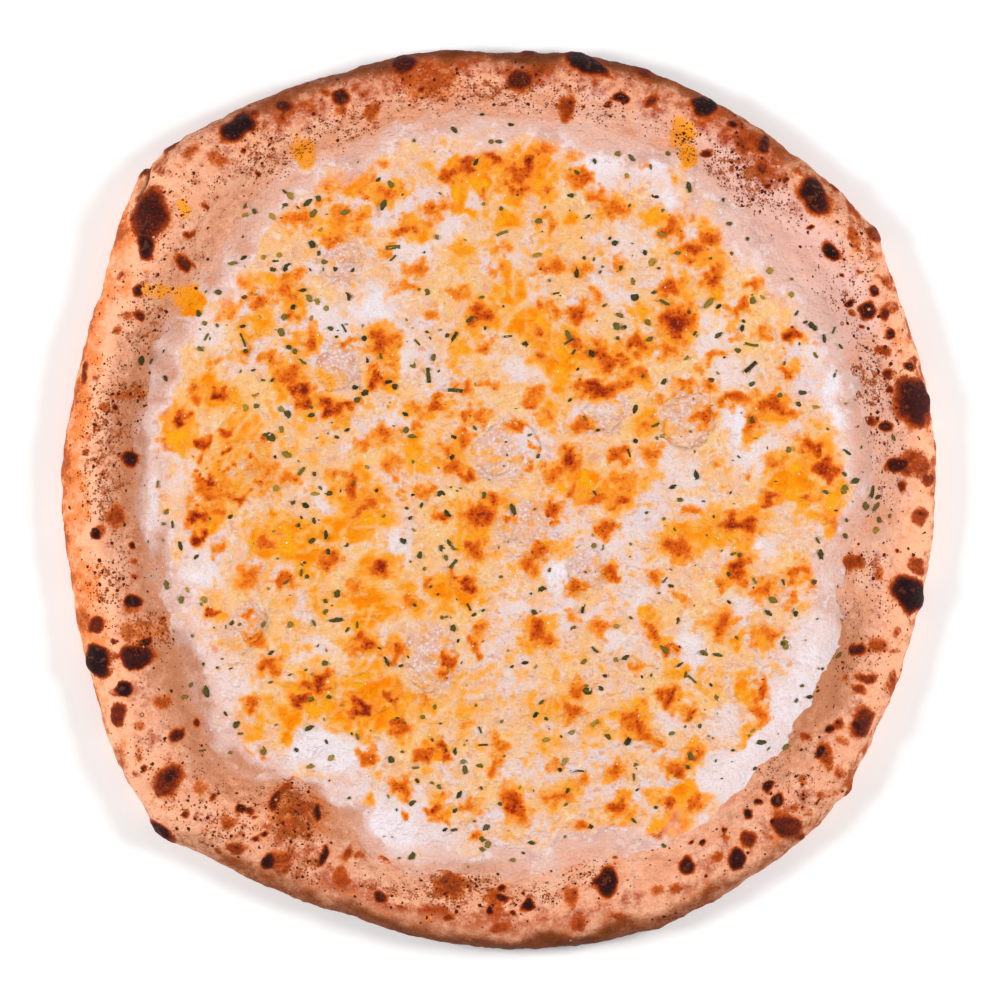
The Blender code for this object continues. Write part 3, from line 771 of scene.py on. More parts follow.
def finish_piece(name, mesh, material, slot, *nodes):
    """Makes the object on the root body, hiding the nodes it stands for. The slot is not used."""
    mesh.name = name
    mesh.materials.append(material)
    mesh.shade_smooth()
    piece = bpy.data.objects.new(name, mesh)
    bpy.context.scene.collection.objects.link(piece)
    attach(piece, "root")
    if nodes:
        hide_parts(*nodes)
    mesh.calc_loop_triangles()
    print(name, "has", len(mesh.loop_triangles), "triangles")


finish_piece("crust_baked", crust_mesh, dough_material(), "baked_dough", "crust")

# %% [markdown]
# ## The melted cheese: where it is white, yellow or toasted
# Several cheeses melt into one layer. Fresh white cheese stays pale in smooth glossy pools, the
# yellow ones run into orange oil, and what stands highest toasts to orange-red blisters. At the
# margin the melt thins to a film on the dough, or ends in a white border, and at the left a bubble
# of bare dough swells through it. The places are noted as on the crust. Toasted spots: 0.4 is
# orange-brown, 0.7 red-orange, 1 dark.

# %% Toasted spots of the cheese
TOASTED = (
    (273, 202, 10, 10, .4), (295, 218, 22, 18, .5), (247, 247, 17, 13, .5, 80),
    (243, 280, 12, 10, .5), (325, 184, 14, 11, .4), (340, 176, 10, 9, .4), (352, 173, 10, 8, .5),
    (362, 193, 9, 7, .6), (368, 176, 8, 8, .4), (388, 193, 24, 13, .6, 10), (383, 162, 9, 8, .4),
    (322, 203, 10, 8, .3), (365, 214, 12, 11, .55), (345, 214, 18, 11, .4), (336, 238, 14, 12, .45),
    (360, 232, 10, 8, .45), (405, 228, 22, 16, .6), (435, 210, 21, 14, .5),
    (385, 252, 12, 10, .45, 80), (417, 268, 20, 11, .45), (290, 274, 12, 9, .5),
    (452, 175, 15, 12, .7), (466, 168, 18, 12, .75), (497, 160, 20, 14, .85),
    (483, 192, 12, 9, .5, 90), (510, 183, 18, 9, .6), (528, 161, 14, 9, .95),
    (520, 170, 24, 16, .65), (516, 190, 16, 12, .7), (545, 150, 20, 10, .5), (505, 250, 12, 9, .45),
    (495, 270, 9, 8, .4), (580, 178, 18, 12, .55), (577, 158, 9, 7, .35), (600, 195, 16, 11, .5),
    (617, 207, 20, 14, .5, -30), (597, 213, 8, 7, .35), (547, 222, 16, 7, .4, 90),
    (545, 188, 16, 10, .5), (646, 164, 8, 8, .45), (670, 229, 18, 15, .65), (694, 213, 8, 5, .4),
    (715, 238, 16, 10, .65), (693, 250, 24, 18, .85), (718, 262, 14, 12, .5),
    (555, 265, 20, 14, .5), (580, 271, 18, 9, .45), (618, 262, 10, 10, .4), (530, 277, 9, 7, .35),
    (742, 250, 8, 7, .35), (752, 285, 12, 9, .55), (713, 280, 18, 14, .75), (672, 288, 20, 14, .7),
    (228, 311, 18, 14, .45, 90), (258, 299, 20, 14, .55), (285, 290, 18, 16, .6),
    (295, 312, 12, 10, .5, 90), (270, 361, 13, 12, .5), (242, 353, 11, 8, .4),
    (213, 362, 10, 7, .3), (308, 340, 18, 18, .65), (345, 342, 11, 8, .5),
    (221, 394, 16, 12, .95, -20), (195, 393, 14, 14, .55), (178, 419, 18, 14, .95, -40),
    (165, 445, 8, 6, .5, 60), (262, 441, 14, 8, .65), (240, 497, 18, 7, .9), (258, 482, 14, 10, .6),
    (228, 433, 14, 8, .75), (203, 448, 14, 8, .85, 45), (225, 450, 11, 7, 1, 30),
    (199, 518, 16, 12, .95, 90), (198, 538, 12, 10, .9, 90), (214, 512, 14, 12, .6),
    (300, 393, 20, 18, .95), (292, 373, 18, 18, .6), (330, 410, 22, 18, .95),
    (347, 405, 14, 8, .85), (377, 381, 18, 16, .8), (380, 340, 22, 20, .65), (385, 352, 10, 8, .75),
    (400, 350, 10, 8, .6), (375, 365, 12, 8, .5), (392, 362, 10, 10, .5), (407, 288, 16, 8, .45),
    (455, 293, 16, 10, .45), (435, 313, 12, 11, .5), (482, 315, 18, 16, .75), (478, 303, 8, 8, .5),
    (485, 347, 12, 10, .5), (463, 389, 14, 13, .55), (490, 381, 10, 9, .45), (436, 407, 22, 12, .8),
    (415, 408, 12, 10, .4), (418, 425, 10, 8, .4), (385, 436, 22, 16, .5), (365, 445, 16, 11, .45),
    (463, 437, 13, 12, .5), (483, 417, 11, 10, .5), (470, 415, 12, 8, .7, 90),
    (517, 426, 18, 11, .6), (447, 450, 14, 12, .5), (455, 467, 20, 14, .55, -45),
    (466, 477, 10, 10, .75), (393, 465, 13, 12, .45), (350, 487, 22, 14, .8, -70),
    (373, 500, 18, 14, .6), (363, 512, 14, 8, .6), (290, 478, 12, 10, .5), (340, 475, 14, 8, .4),
    (443, 517, 16, 11, .75), (495, 498, 14, 10, .65), (480, 517, 26, 20, .8),
    (508, 516, 12, 7, .55), (425, 492, 9, 9, .45), (400, 492, 8, 8, .3), (541, 305, 12, 11, .65),
    (558, 312, 12, 10, .5), (578, 312, 18, 13, .7), (595, 297, 13, 12, .5), (540, 333, 16, 14, .7),
    (545, 355, 14, 12, .6, 90), (578, 345, 18, 12, .55), (600, 352, 24, 14, .65),
    (612, 365, 26, 12, .75), (622, 355, 8, 8, .8), (640, 345, 22, 13, .7), (670, 350, 20, 12, .5),
    (678, 323, 28, 26, .9), (597, 390, 38, 14, .85), (626, 384, 12, 11, .6), (640, 375, 12, 12, .5),
    (535, 394, 14, 13, .55), (532, 406, 12, 8, .6), (545, 418, 12, 9, .5), (580, 425, 20, 15, .55),
    (645, 425, 14, 12, .4), (653, 453, 16, 14, .5), (617, 457, 18, 12, .65),
    (570, 461, 20, 18, .85, 90), (554, 472, 13, 13, .5), (535, 445, 8, 7, .4),
    (527, 465, 11, 10, .45), (573, 490, 12, 11, .5), (593, 497, 20, 12, .55),
    (621, 501, 15, 13, .8), (625, 478, 14, 10, .5), (553, 512, 20, 15, .75), (704, 418, 17, 17, .6),
    (690, 508, 12, 9, .5), (700, 365, 10, 8, .45), (718, 355, 14, 7, .45), (685, 383, 16, 8, .5),
    (708, 385, 12, 9, .5), (735, 398, 28, 11, .6, 8), (752, 424, 18, 13, .6, 90),
    (738, 308, 14, 12, .6), (733, 333, 9, 6, .4), (670, 396, 16, 6, .4, 10), (715, 465, 9, 8, .4),
    (750, 477, 8, 6, .4), (760, 335, 14, 9, .4), (791, 334, 12, 12, .9), (812, 342, 8, 7, .35),
    (788, 368, 12, 12, .55), (776, 404, 24, 18, .75), (788, 411, 14, 10, .65),
    (812, 446, 20, 15, .8, -20), (826, 468, 26, 20, .85, -30), (774, 498, 20, 12, .85),
    (807, 496, 16, 11, .65, -30), (775, 463, 9, 9, .5), (853, 515, 10, 9, .55),
    (835, 525, 16, 14, .45), (735, 524, 28, 18, .9), (750, 525, 20, 18, .8),
    (737, 566, 22, 18, .8, 90), (722, 582, 12, 10, .5), (742, 585, 10, 8, .5),
    (678, 546, 24, 18, .65), (690, 550, 16, 12, .5, 90), (603, 528, 17, 15, .65),
    (608, 572, 16, 13, .75), (573, 589, 17, 13, .6), (535, 551, 22, 10, .6), (530, 566, 18, 15, .6),
    (660, 577, 12, 11, .45), (680, 600, 14, 8, .3), (722, 623, 24, 20, .65), (752, 637, 9, 8, .4),
    (655, 634, 14, 14, .6), (668, 650, 18, 10, .6, -20), (602, 627, 16, 13, .5),
    (570, 618, 12, 10, .45), (538, 632, 22, 22, .75), (577, 690, 18, 13, .55),
    (570, 711, 20, 15, .6), (635, 664, 9, 9, .45), (672, 698, 22, 13, .8, 90),
    (690, 712, 15, 11, .65), (642, 702, 6, 6, .5), (634, 716, 14, 14, .65), (637, 727, 18, 18, .75),
    (645, 737, 22, 9, .55), (660, 745, 13, 10, .45), (795, 573, 20, 14, .55),
    (767, 591, 20, 15, .55), (795, 600, 12, 8, .4), (812, 586, 16, 6, .5, -15),
    (768, 635, 18, 14, .55), (763, 690, 24, 9, .65, 90), (760, 710, 14, 14, .55),
    (250, 580, 20, 16, .45, 90), (216, 612, 9, 9, .8), (250, 615, 10, 9, .55),
    (256, 637, 16, 14, .5), (271, 666, 16, 14, .6), (212, 647, 9, 7, .4), (268, 544, 15, 11, .6),
    (283, 580, 18, 13, .6), (220, 548, 11, 11, .4), (253, 705, 13, 12, .6), (318, 683, 20, 20, .95),
    (300, 698, 18, 14, .85), (360, 707, 22, 13, .95), (392, 697, 16, 12, .7),
    (400, 724, 16, 14, .65, 90), (330, 560, 20, 14, .6), (380, 569, 20, 14, .95),
    (352, 588, 13, 11, .5), (430, 583, 12, 9, .6), (462, 580, 18, 10, .8), (465, 588, 12, 8, .9),
    (478, 553, 18, 18, .6), (470, 546, 12, 10, .65), (362, 645, 24, 14, .7),
    (395, 652, 16, 16, .65), (475, 645, 14, 10, .65, 90), (485, 628, 14, 9, .5, 90),
    (447, 663, 18, 12, .65, 70), (420, 698, 10, 7, .45), (410, 602, 14, 10, .5),
    (470, 720, 12, 7, .4), (370, 757, 15, 15, .65), (422, 752, 13, 9, .6), (444, 748, 14, 13, .75),
    (401, 787, 18, 16, .65), (402, 815, 8, 8, .55), (446, 794, 8, 7, .45), (435, 808, 12, 11, .85),
    (441, 820, 10, 8, .5, 90), (470, 806, 14, 14, .45), (480, 833, 14, 10, .55, 90),
    (500, 748, 14, 13, .45), (492, 765, 13, 11, .55, 90), (516, 805, 34, 15, .8, -60),
    (517, 810, 11, 9, 1), (527, 861, 10, 9, .75), (421, 863, 9, 7, .5), (558, 797, 18, 11, .6),
    (585, 826, 11, 9, .65), (616, 772, 18, 13, .6), (582, 782, 14, 9, .4), (553, 768, 12, 7, .4),
    (617, 808, 17, 15, .8), (608, 830, 8, 7, .6), (630, 833, 9, 8, .5, 90), (678, 771, 18, 13, .7),
    (694, 753, 15, 11, .55, 70), (670, 806, 14, 11, .7, 90), (697, 804, 14, 12, .55, 90),
    (663, 834, 14, 9, .9), (678, 822, 14, 8, .5), (266, 757, 9, 9, .6), (232, 764, 10, 9, .6),
    (240, 752, 10, 8, .5), (196, 470, 5, 4, .9), (203, 476, 5, 4, .85), (199, 484, 5, 4, .9),
    (207, 468, 4, 4, .8), (212, 480, 5, 4, .85), (193, 478, 4, 4, .8), (238, 462, 6, 5, .7),
    (249, 459, 5, 5, .7), (218, 462, 6, 5, .6), (230, 470, 5, 4, .6), (198, 458, 8, 6, .6),
    (205, 490, 26, 16, .5, 30), (266, 476, 18, 26, .35), (224, 496, 22, 12, .45),
)
print(len(TOASTED), "toasted spots")

# %% Pools of yellow oil and of white cheese, as (x, y, half length, half width, strength)
YELLOW = (
    (262, 283, 26, 10, .8), (290, 292, 18, 16, .9), (295, 315, 8, 12, .7), (255, 330, 20, 16, .7),
    (330, 180, 16, 12, .6), (352, 185, 20, 14, .9), (368, 172, 12, 12, .8), (390, 192, 20, 12, .9),
    (345, 225, 26, 16, .8), (332, 240, 14, 10, .8), (365, 215, 10, 10, .7), (408, 228, 16, 14, .8),
    (410, 192, 12, 12, .5), (430, 165, 16, 12, .4), (458, 172, 20, 14, .9), (458, 196, 8, 22, .8),
    (470, 214, 10, 6, .7), (485, 188, 10, 22, .8), (497, 162, 22, 14, .9), (485, 140, 9, 9, .6),
    (515, 118, 7, 16, .6), (528, 130, 14, 10, .6), (548, 140, 24, 12, .8), (530, 172, 34, 22, 1),
    (512, 190, 14, 14, .9), (505, 222, 14, 16, .7), (545, 190, 16, 12, .8), (570, 222, 14, 10, .7),
    (580, 178, 14, 10, .6), (467, 258, 14, 14, .5), (505, 285, 14, 24, .8), (615, 205, 20, 14, .5),
    (660, 222, 18, 12, .6), (705, 228, 14, 12, .7), (722, 232, 16, 12, .8), (690, 254, 20, 14, .9),
    (716, 262, 10, 10, .6), (675, 290, 26, 16, .7), (713, 283, 14, 14, .9), (555, 265, 16, 12, .4),
    (580, 270, 14, 8, .6), (645, 308, 18, 12, .6), (480, 315, 20, 20, .9), (497, 312, 8, 10, .6),
    (465, 345, 14, 16, .5), (455, 365, 14, 14, .4), (482, 363, 10, 12, .4), (530, 325, 20, 18, .9),
    (560, 350, 26, 24, 1), (598, 355, 32, 18, 1), (640, 348, 16, 12, .9), (678, 325, 24, 26, .8),
    (640, 378, 14, 16, .7), (597, 390, 26, 12, .8), (560, 388, 14, 16, .6), (538, 400, 14, 18, .7),
    (545, 420, 10, 8, .5), (645, 425, 18, 20, .8), (655, 460, 14, 24, .7), (605, 485, 40, 22, 1),
    (570, 460, 14, 18, .8), (553, 472, 10, 12, .6), (620, 505, 20, 14, .8), (380, 345, 22, 20, .8),
    (377, 382, 16, 14, .8), (308, 342, 14, 14, .7), (293, 380, 20, 26, .9), (325, 405, 28, 20, .8),
    (320, 385, 14, 12, .6), (230, 312, 12, 14, .5), (215, 398, 30, 22, .9), (180, 420, 18, 16, .8),
    (185, 442, 18, 18, .6), (235, 465, 40, 36, .7), (430, 407, 26, 10, .7), (385, 437, 16, 12, .6),
    (365, 445, 10, 8, .4), (420, 452, 14, 20, .7), (450, 455, 20, 18, .8), (415, 466, 14, 14, .6),
    (393, 465, 7, 8, .6), (465, 475, 8, 8, .5), (475, 415, 14, 12, .5), (515, 427, 12, 8, .5),
    (345, 485, 18, 22, .7), (368, 508, 28, 22, .9), (340, 470, 14, 10, .4), (340, 528, 40, 14, .7),
    (275, 540, 34, 26, .8), (215, 515, 20, 22, .7), (310, 555, 30, 24, .9), (380, 570, 24, 14, .8),
    (370, 605, 30, 26, .8), (330, 600, 20, 14, .5), (405, 583, 10, 16, .6), (415, 605, 18, 12, .6),
    (460, 590, 30, 14, .9), (430, 583, 10, 10, .7), (475, 545, 16, 22, .9), (478, 517, 18, 14, 1),
    (500, 500, 22, 10, .9), (460, 505, 12, 8, .5), (363, 645, 26, 14, .8), (395, 650, 12, 14, .6),
    (365, 700, 42, 36, 1), (310, 692, 22, 22, .9), (290, 715, 22, 18, .7), (260, 705, 20, 14, .6),
    (245, 735, 24, 18, .5), (285, 732, 12, 10, .6), (400, 728, 14, 16, .8), (435, 755, 24, 16, .8),
    (425, 773, 12, 8, .5), (460, 725, 26, 20, .4), (250, 580, 18, 18, .5), (216, 618, 10, 16, .5),
    (230, 645, 24, 8, .5), (272, 665, 14, 12, .6), (550, 550, 26, 10, .8), (530, 567, 14, 12, .8),
    (538, 635, 18, 20, .8), (560, 675, 8, 20, .5), (560, 705, 24, 16, .6), (580, 690, 12, 10, .6),
    (605, 565, 12, 12, .4), (648, 622, 14, 18, .8), (660, 645, 16, 12, .7), (685, 535, 24, 14, .7),
    (680, 550, 20, 12, .6), (722, 528, 22, 20, .9), (748, 525, 20, 16, .8), (740, 560, 14, 24, .8),
    (735, 583, 16, 10, .6), (720, 623, 14, 14, .7), (737, 640, 8, 14, .6), (750, 625, 8, 8, .6),
    (775, 405, 24, 18, .9), (752, 428, 12, 16, .7), (818, 455, 26, 26, .8), (792, 475, 30, 20, 1),
    (775, 463, 8, 8, .5), (772, 497, 16, 12, .8), (808, 497, 14, 10, .7), (845, 490, 10, 10, .5),
    (842, 512, 26, 16, .9), (835, 530, 14, 12, .8), (798, 522, 10, 10, .6), (785, 385, 10, 14, .3),
    (788, 368, 10, 10, .5), (795, 572, 14, 12, .5), (767, 592, 14, 10, .5), (767, 636, 14, 12, .5),
    (745, 690, 12, 22, .7), (762, 690, 8, 26, .6), (752, 730, 14, 10, .5), (672, 672, 14, 12, .6),
    (673, 698, 10, 16, .8), (705, 680, 16, 14, .5), (690, 712, 12, 10, .7), (635, 722, 18, 24, .9),
    (650, 737, 16, 8, .6), (612, 712, 12, 8, .5), (615, 772, 16, 12, .6), (565, 795, 20, 14, .7),
    (548, 808, 8, 10, .6), (620, 810, 20, 16, .8), (620, 826, 14, 12, .6), (678, 772, 14, 12, .7),
    (695, 758, 12, 18, .6), (655, 795, 20, 10, .5), (690, 800, 18, 14, .8), (672, 822, 24, 14, .9),
    (655, 832, 12, 10, .6), (515, 805, 12, 22, .8), (507, 840, 8, 8, .5), (470, 808, 14, 12, .5),
    (435, 810, 12, 14, .7), (401, 787, 12, 11, .7), (369, 803, 6, 8, .5), (232, 760, 12, 10, .5),
    (600, 740, 60, 30, .3), (560, 740, 40, 20, .3), (480, 740, 30, 14, .3), (300, 455, 30, 14, .3),
    (250, 420, 30, 16, .5), (225, 610, 46, 50, .28), (295, 600, 60, 60, .3), (300, 450, 60, 40, .3),
    (450, 700, 60, 46, .38), (440, 615, 40, 40, .32), (540, 700, 50, 36, .34), (480, 540, 50, 40, .3),
    (560, 240, 60, 40, .28), (700, 300, 50, 40, .28), (560, 800, 60, 30, .32),
)
WHITE = (
    (250, 205, 14, 16, .6), (222, 285, 16, 18, .7), (205, 330, 22, 20, .6), (235, 370, 14, 12, .4),
    (375, 310, 28, 20, .9), (325, 320, 24, 18, .8), (405, 350, 14, 24, .7), (400, 420, 20, 14, .5),
    (415, 250, 26, 20, .7), (450, 225, 24, 20, .7), (467, 188, 7, 9, .9), (440, 125, 50, 14, .5),
    (600, 165, 30, 22, .9), (640, 165, 30, 20, .8), (655, 170, 14, 22, .9), (672, 195, 14, 10, .9),
    (630, 240, 30, 20, .5), (740, 210, 24, 14, .7), (745, 240, 20, 20, .5), (770, 250, 24, 30, .6),
    (615, 295, 16, 12, .6), (715, 320, 24, 26, .9), (700, 345, 24, 12, .7), (735, 370, 26, 20, .6),
    (735, 420, 12, 28, 1), (755, 450, 20, 20, .8), (590, 405, 26, 10, .6), (520, 365, 20, 14, .7),
    (530, 440, 20, 14, .6), (680, 470, 24, 20, .6), (690, 500, 24, 12, .6), (330, 495, 16, 16, .8),
    (395, 520, 10, 30, .8), (400, 550, 12, 20, .8), (205, 575, 24, 20, 1), (180, 475, 14, 22, .5),
    (145, 365, 12, 12, .6), (835, 400, 14, 60, 1), (820, 350, 16, 20, .7), (860, 460, 16, 30, .7),
    (760, 545, 20, 14, .9), (865, 520, 8, 14, .9), (620, 540, 40, 20, .5), (640, 600, 14, 12, .8),
    (560, 580, 11, 24, 1), (555, 620, 10, 20, .7), (620, 640, 16, 14, .7), (690, 655, 12, 32, .8),
    (745, 600, 20, 14, .6), (820, 640, 30, 40, .8), (800, 690, 24, 30, .8), (780, 730, 26, 24, .8),
    (720, 720, 22, 20, .6), (670, 720, 16, 14, .6), (520, 615, 26, 12, .7), (310, 650, 24, 14, .8),
    (330, 750, 50, 20, 1), (280, 765, 24, 14, .9), (230, 690, 30, 30, .6), (210, 650, 14, 30, .6),
    (190, 712, 10, 8, .8), (390, 830, 40, 40, 1), (440, 840, 30, 24, .8), (500, 865, 40, 14, .8),
    (550, 860, 30, 16, .8), (350, 790, 24, 14, .6), (540, 740, 20, 14, .4), (650, 850, 30, 12, .7),
    (720, 780, 24, 30, .8), (740, 770, 20, 20, .8), (690, 840, 20, 10, .6), (515, 770, 16, 12, .6),
    (525, 790, 10, 12, .6),
)
print(len(YELLOW), "yellow and", len(WHITE), "white pools")

# %% [markdown]
# ## The melted cheese: its form
# The layer is a slab with a wavy edge that climbs the foot of the rim. A square grid is pressed
# round, because its cells stay nearly even to the edge, where a disc of rings and spokes would
# crowd in the middle. Heights then come from the crust below, the sagging swells, buried shreds,
# toasted blisters and ridges. The edge is pulled down into the dough and closed underneath.

# %% Press a grid round
CHEESE_CELLS = 296            # cells across, about 0.8 mm each
OVERLAP = 1.02                # how far past its edge curve the layer is modelled
CHEESE_THICKNESS = 3.0 * MM
THIN_EDGE = 0.75 * MM         # thickness where the melt runs out
EDGE_SINK = 1.3 * MM          # how far the edge is pulled down into the dough
SAG = 0.5 * MM                # how uneven the melt is, in waves of SAG_SIZE
SAG_SIZE = 13 * MM
BURIED = 2.2 * MM             # height of the closed underside, inside the dough
# Swells of the melted cheese, as (x, y, radius, height) in mm. The first is a bubble in the dough.
CHEESE_SWELLS = (
    (-93.7, 12.6, 14, 4.2), (83, -5.5, 12, 1.5), (36, 40, 11, 1.2), (-70, 36, 9, 1.4),
    (-58, 31, 9, 1.2), (62, 62, 11, 1.2), (112, 14, 10, 1.2), (-12, -26, 10, 1.2),
    (-46, -75, 18, -0.7), (27, 86, 10, 1.0), (20, -34, 9, -0.8), (-67, -64, 10, 1.2),
)
# Lumps of crumbly soft cheese, as (x, y, length, width, turn) in mm and degrees.
SOFT_LUMPS = (
    (2, 17.6, 23, 18, 20), (10, -9.5, 21, 17, -15), (67.8, 28.2, 20, 18, 60),
    (-24, -57, 21, 17, 75), (-57.5, 47.5, 18, 15, 30), (36.5, 30.5, 17, 12, 10),
    (30.5, -24.5, 15, 12, 80), (-55, 85, 16, 13, 40), (-90, -44, 16, 12, 70),
)
# Where bare dough swells up through the melt, in pixels: (x, y, length, width, level, turn).
DOUGH_BUBBLE = (241, 468, 40, 34, 0.8, 20)
# Glossy folds of melted white cheese: marks whose level is a height in millimetres.
# Along each fold the white is painted stronger: white cheese and a painted highlight line together.
RIDGES = (
    (560, 582, 50, 16, 1.3, 84), (152, 498, 170, 14, 0.9, 88), (834, 385, 112, 20, 1.0, 85),
    (661, 173, 52, 12, 0.9, -64), (828, 577, 50, 7, 0.8, 86), (735, 425, 52, 18, 0.7, 88),
    (640, 566, 60, 10, 0.5, 10), (205, 575, 40, 34, 0.5), (700, 655, 60, 14, 0.5, 80),
    (390, 830, 60, 50, 0.6, 20), (600, 166, 44, 30, 0.5),
)


def pressed_grid():
    """A square slab: a fine grid with a skirt, closed underneath."""
    work = bmesh.new()
    bmesh.ops.create_grid(work, x_segments=CHEESE_CELLS, y_segments=CHEESE_CELLS, size=1)
    rim = [edge for edge in work.edges if edge.is_boundary]
    skirt = bmesh.ops.extrude_edge_only(work, edges=rim)["geom"]
    lower = [item for item in skirt if isinstance(item, bmesh.types.BMVert)]
    bmesh.ops.translate(work, verts=lower, vec=(0, 0, -1))
    loop = [item for item in skirt if isinstance(item, bmesh.types.BMEdge) and item.is_boundary]
    bmesh.ops.contextual_create(work, geom=loop)
    bmesh.ops.recalc_face_normals(work, faces=work.faces)
    return to_mesh(work, "cheese_fine")


def press_round(mesh):
    """The square's points moved to the cheese's outline, and which of them are the underside."""
    points = get_points(mesh)
    across, up, below = points[:, 0], points[:, 1], points[:, 2] < -0.5
    x = across * np.sqrt(1 - up * up / 2)
    y = up * np.sqrt(1 - across * across / 2)
    edge = around(EDGE_CURVE, np.degrees(np.arctan2(y, x))) * MM * OVERLAP
    return np.column_stack([x * edge, y * edge, 0 * x]), below


cheese_mesh = pressed_grid()
cheese_places, cheese_below = press_round(cheese_mesh)
print("cheese faces:", len(cheese_mesh.polygons))

# %% [markdown]
# ## Shreds under the melt
# The cheese went on grated, and the strands still show as faint ridges where they did not melt
# flat. Each is a short capsule at a seeded random place and turn, worked out with the same
# distance function as the fold in the crust.

# %% The height of the cheese
SHRED_COUNT = 620
SHRED_HEIGHT = 0.42 * MM
SHRED_HALF_WIDTH = 0.85 * MM
SHRED_REACH = 125 * MM        # how far from the middle they lie


def shred_relief(x, y):
    """Height of the buried shreds over the melt."""
    draw = random.Random(11)
    relief = np.zeros(len(x))
    for _ in range(SHRED_COUNT):
        reach = SHRED_REACH * math.sqrt(draw.random())
        angle, turn = draw.uniform(0, math.tau), draw.uniform(0, math.pi)
        half = draw.uniform(3, 8) * MM
        centre = (reach * math.cos(angle), reach * math.sin(angle))
        bend = draw.uniform(-0.35, 0.35)
        arms = [(centre[0] + side * half * math.cos(turn + side * bend),
                 centre[1] + side * half * math.sin(turn + side * bend)) for side in (-1, 1)]
        near = np.hypot(x - centre[0], y - centre[1]) < half + 3 * MM
        away = line_distance(x[near], y[near], (arms[0], centre, arms[1]))
        crown = SHRED_HEIGHT * np.exp(-((away / SHRED_HALF_WIDTH) ** 2))
        relief[near] = np.maximum(relief[near], crown)
    return relief


def near_lumps(flat, low, high):
    """1 on the lumps of soft cheese, fading out from low to high of their ellipses."""
    near = np.zeros(len(flat))
    for x, y, length, width, turn in SOFT_LUMPS:
        away = ellipse_share(flat, (x * MM, y * MM), length * MM, width * MM, turn)
        near = np.maximum(near, 1 - ease(away, low, high))
    return near


def cheese_fields(places):
    """Every mask of the cheese at the given places, by name."""
    flat = ragged(places, (2.2 * MM, 1.0 * MM), (5 * MM, 1.6 * MM))
    wide = ragged(places, (3.5 * MM, 2.4 * MM), (10 * MM, 5 * MM))
    torn = ragged(places, (2.4 * MM, 1.9 * MM), (5 * MM, 3.8 * MM))
    reach = np.hypot(*places[:, :2].T)
    direction = np.degrees(np.arctan2(places[:, 1], places[:, 0]))
    edge = around(EDGE_CURVE, direction) * MM
    ridge_with_highlight = np.clip(field(flat, RIDGES, 0.1, 1.3), 0, 1)
    border = on_curve(WHITE_BORDER, direction)
    # White along the ridges: white cheese and a painted highlight line together.
    white = np.maximum(pools(wide, WHITE, 0.3, 1.65), 0.9 * ridge_with_highlight)
    white = np.maximum(white, 0.85 * border * ease(np.hypot(*wide.T) / edge, 0.86, 0.93))
    thin = ease(reach / edge + 0.07 * rough(places, 9 * MM, 4.4), 0.90, 1.0)
    bubble = field(flat, [DOUGH_BUBBLE], 0.4, 1.3)
    stray = pools(flat, STRAY_CHEESE, 0.4, 1.5)
    oily = np.maximum(1.4 * pools(wide, YELLOW, 0.1, 1.7), 0.24 * (1 - white))
    oily = np.maximum(oily, stray)
    return {
        "toast": field(torn, TOASTED, inner=0.35, outer=1.8, halo=0.28),
        "yellow": oily * (1 - 0.8 * bubble),
        "white": white,
        "crumb": np.maximum(near_lumps(wide, 0.6, 1.5), bubble),
        "thin": thin * (1 - border) * (1 - np.clip(2 * stray, 0, 1)) - 0.5 * ridge_with_highlight,
        "foot": on_curve(OILY_SHADED_FOOT, direction),
        "flour": on_curve(FLOURY, direction),
    }


def cheese_top(places, fields):
    """Heights of the melt, and its small relief in millimetres."""
    flat = places[:, :2]
    x, y = flat.T
    edge = around(EDGE_CURVE, np.degrees(np.arctan2(y, x))) * MM
    reach = np.hypot(x, y) / edge
    thin = ease(reach, 0.86, 1.0)
    body = CHEESE_THICKNESS * (1 - thin) + THIN_EDGE * thin
    body = body - EDGE_SINK * ease(reach + 0.02 * rough(places, 12 * MM, 8.8), 0.98, 1.02)
    swell = mounds(x, y, CHEESE_SWELLS)
    swell += SAG * rough(np.column_stack([x, y, 0.05 * MM + 0 * x]), SAG_SIZE)
    relief = 0.95 * rough(places, 4.2 * MM, 2.2) + 0.55 * rough(places, 1.9 * MM, 6.6)
    shreds = shred_relief(x, y)
    fields["shred"] = shreds / SHRED_HEIGHT
    relief = (relief + shreds / MM) * (1 - 0.7 * fields["white"])
    relief += 0.5 * fields["toast"] - 0.25 * fields["white"] + field(flat, RIDGES, 0.1, 1.3)
    relief += 1.9 * near_lumps(flat, 0.70, 1.6)
    return crust_top(x, y) + body + (swell + relief * MM) * (1 - 0.7 * thin), relief


cheese_marks = cheese_fields(cheese_places)
cheese_height, cheese_relief = cheese_top(cheese_places, cheese_marks)
# Oil is stronger in the hollows of the relief and weaker on its tops: oil run into dips and painted
# shade in the hollows together.
cheese_marks["yellow"] = cheese_marks["yellow"] * (1 - 0.8 * np.clip(cheese_relief, -0.5, 0.6))
cheese_places[:, 2] = np.where(cheese_below, BURIED, cheese_height)
set_points(cheese_mesh, cheese_places + CENTRING)
store(cheese_mesh, **cheese_marks)
print("cheese between", cheese_height.min().round(4), "and", cheese_height.max().round(4), "m")

# %% [markdown]
# ## The finish of melted cheese
# Melted cheese is a moist, slightly see-through fat and protein gel: light enters a millimetre or
# two, so it gets a little subsurface, and a thin film of oil keeps it glossy. Its ground wanders
# between peach, cream and a cool white in patches of up to 17 mm. Over it come the dry crumbs,
# with painted highlights and painted shade among them, white with a painted highlight line on
# the glossy folds, yellow, orange oil that is stronger in the hollows, partly as painted shade,
# pale shreds, five depths of toast, the thin margin and small painted highlights: pale dots for
# glints of light on the wet fat. Noise of 1 to 9 mm breaks up every border, since curds have
# that size.

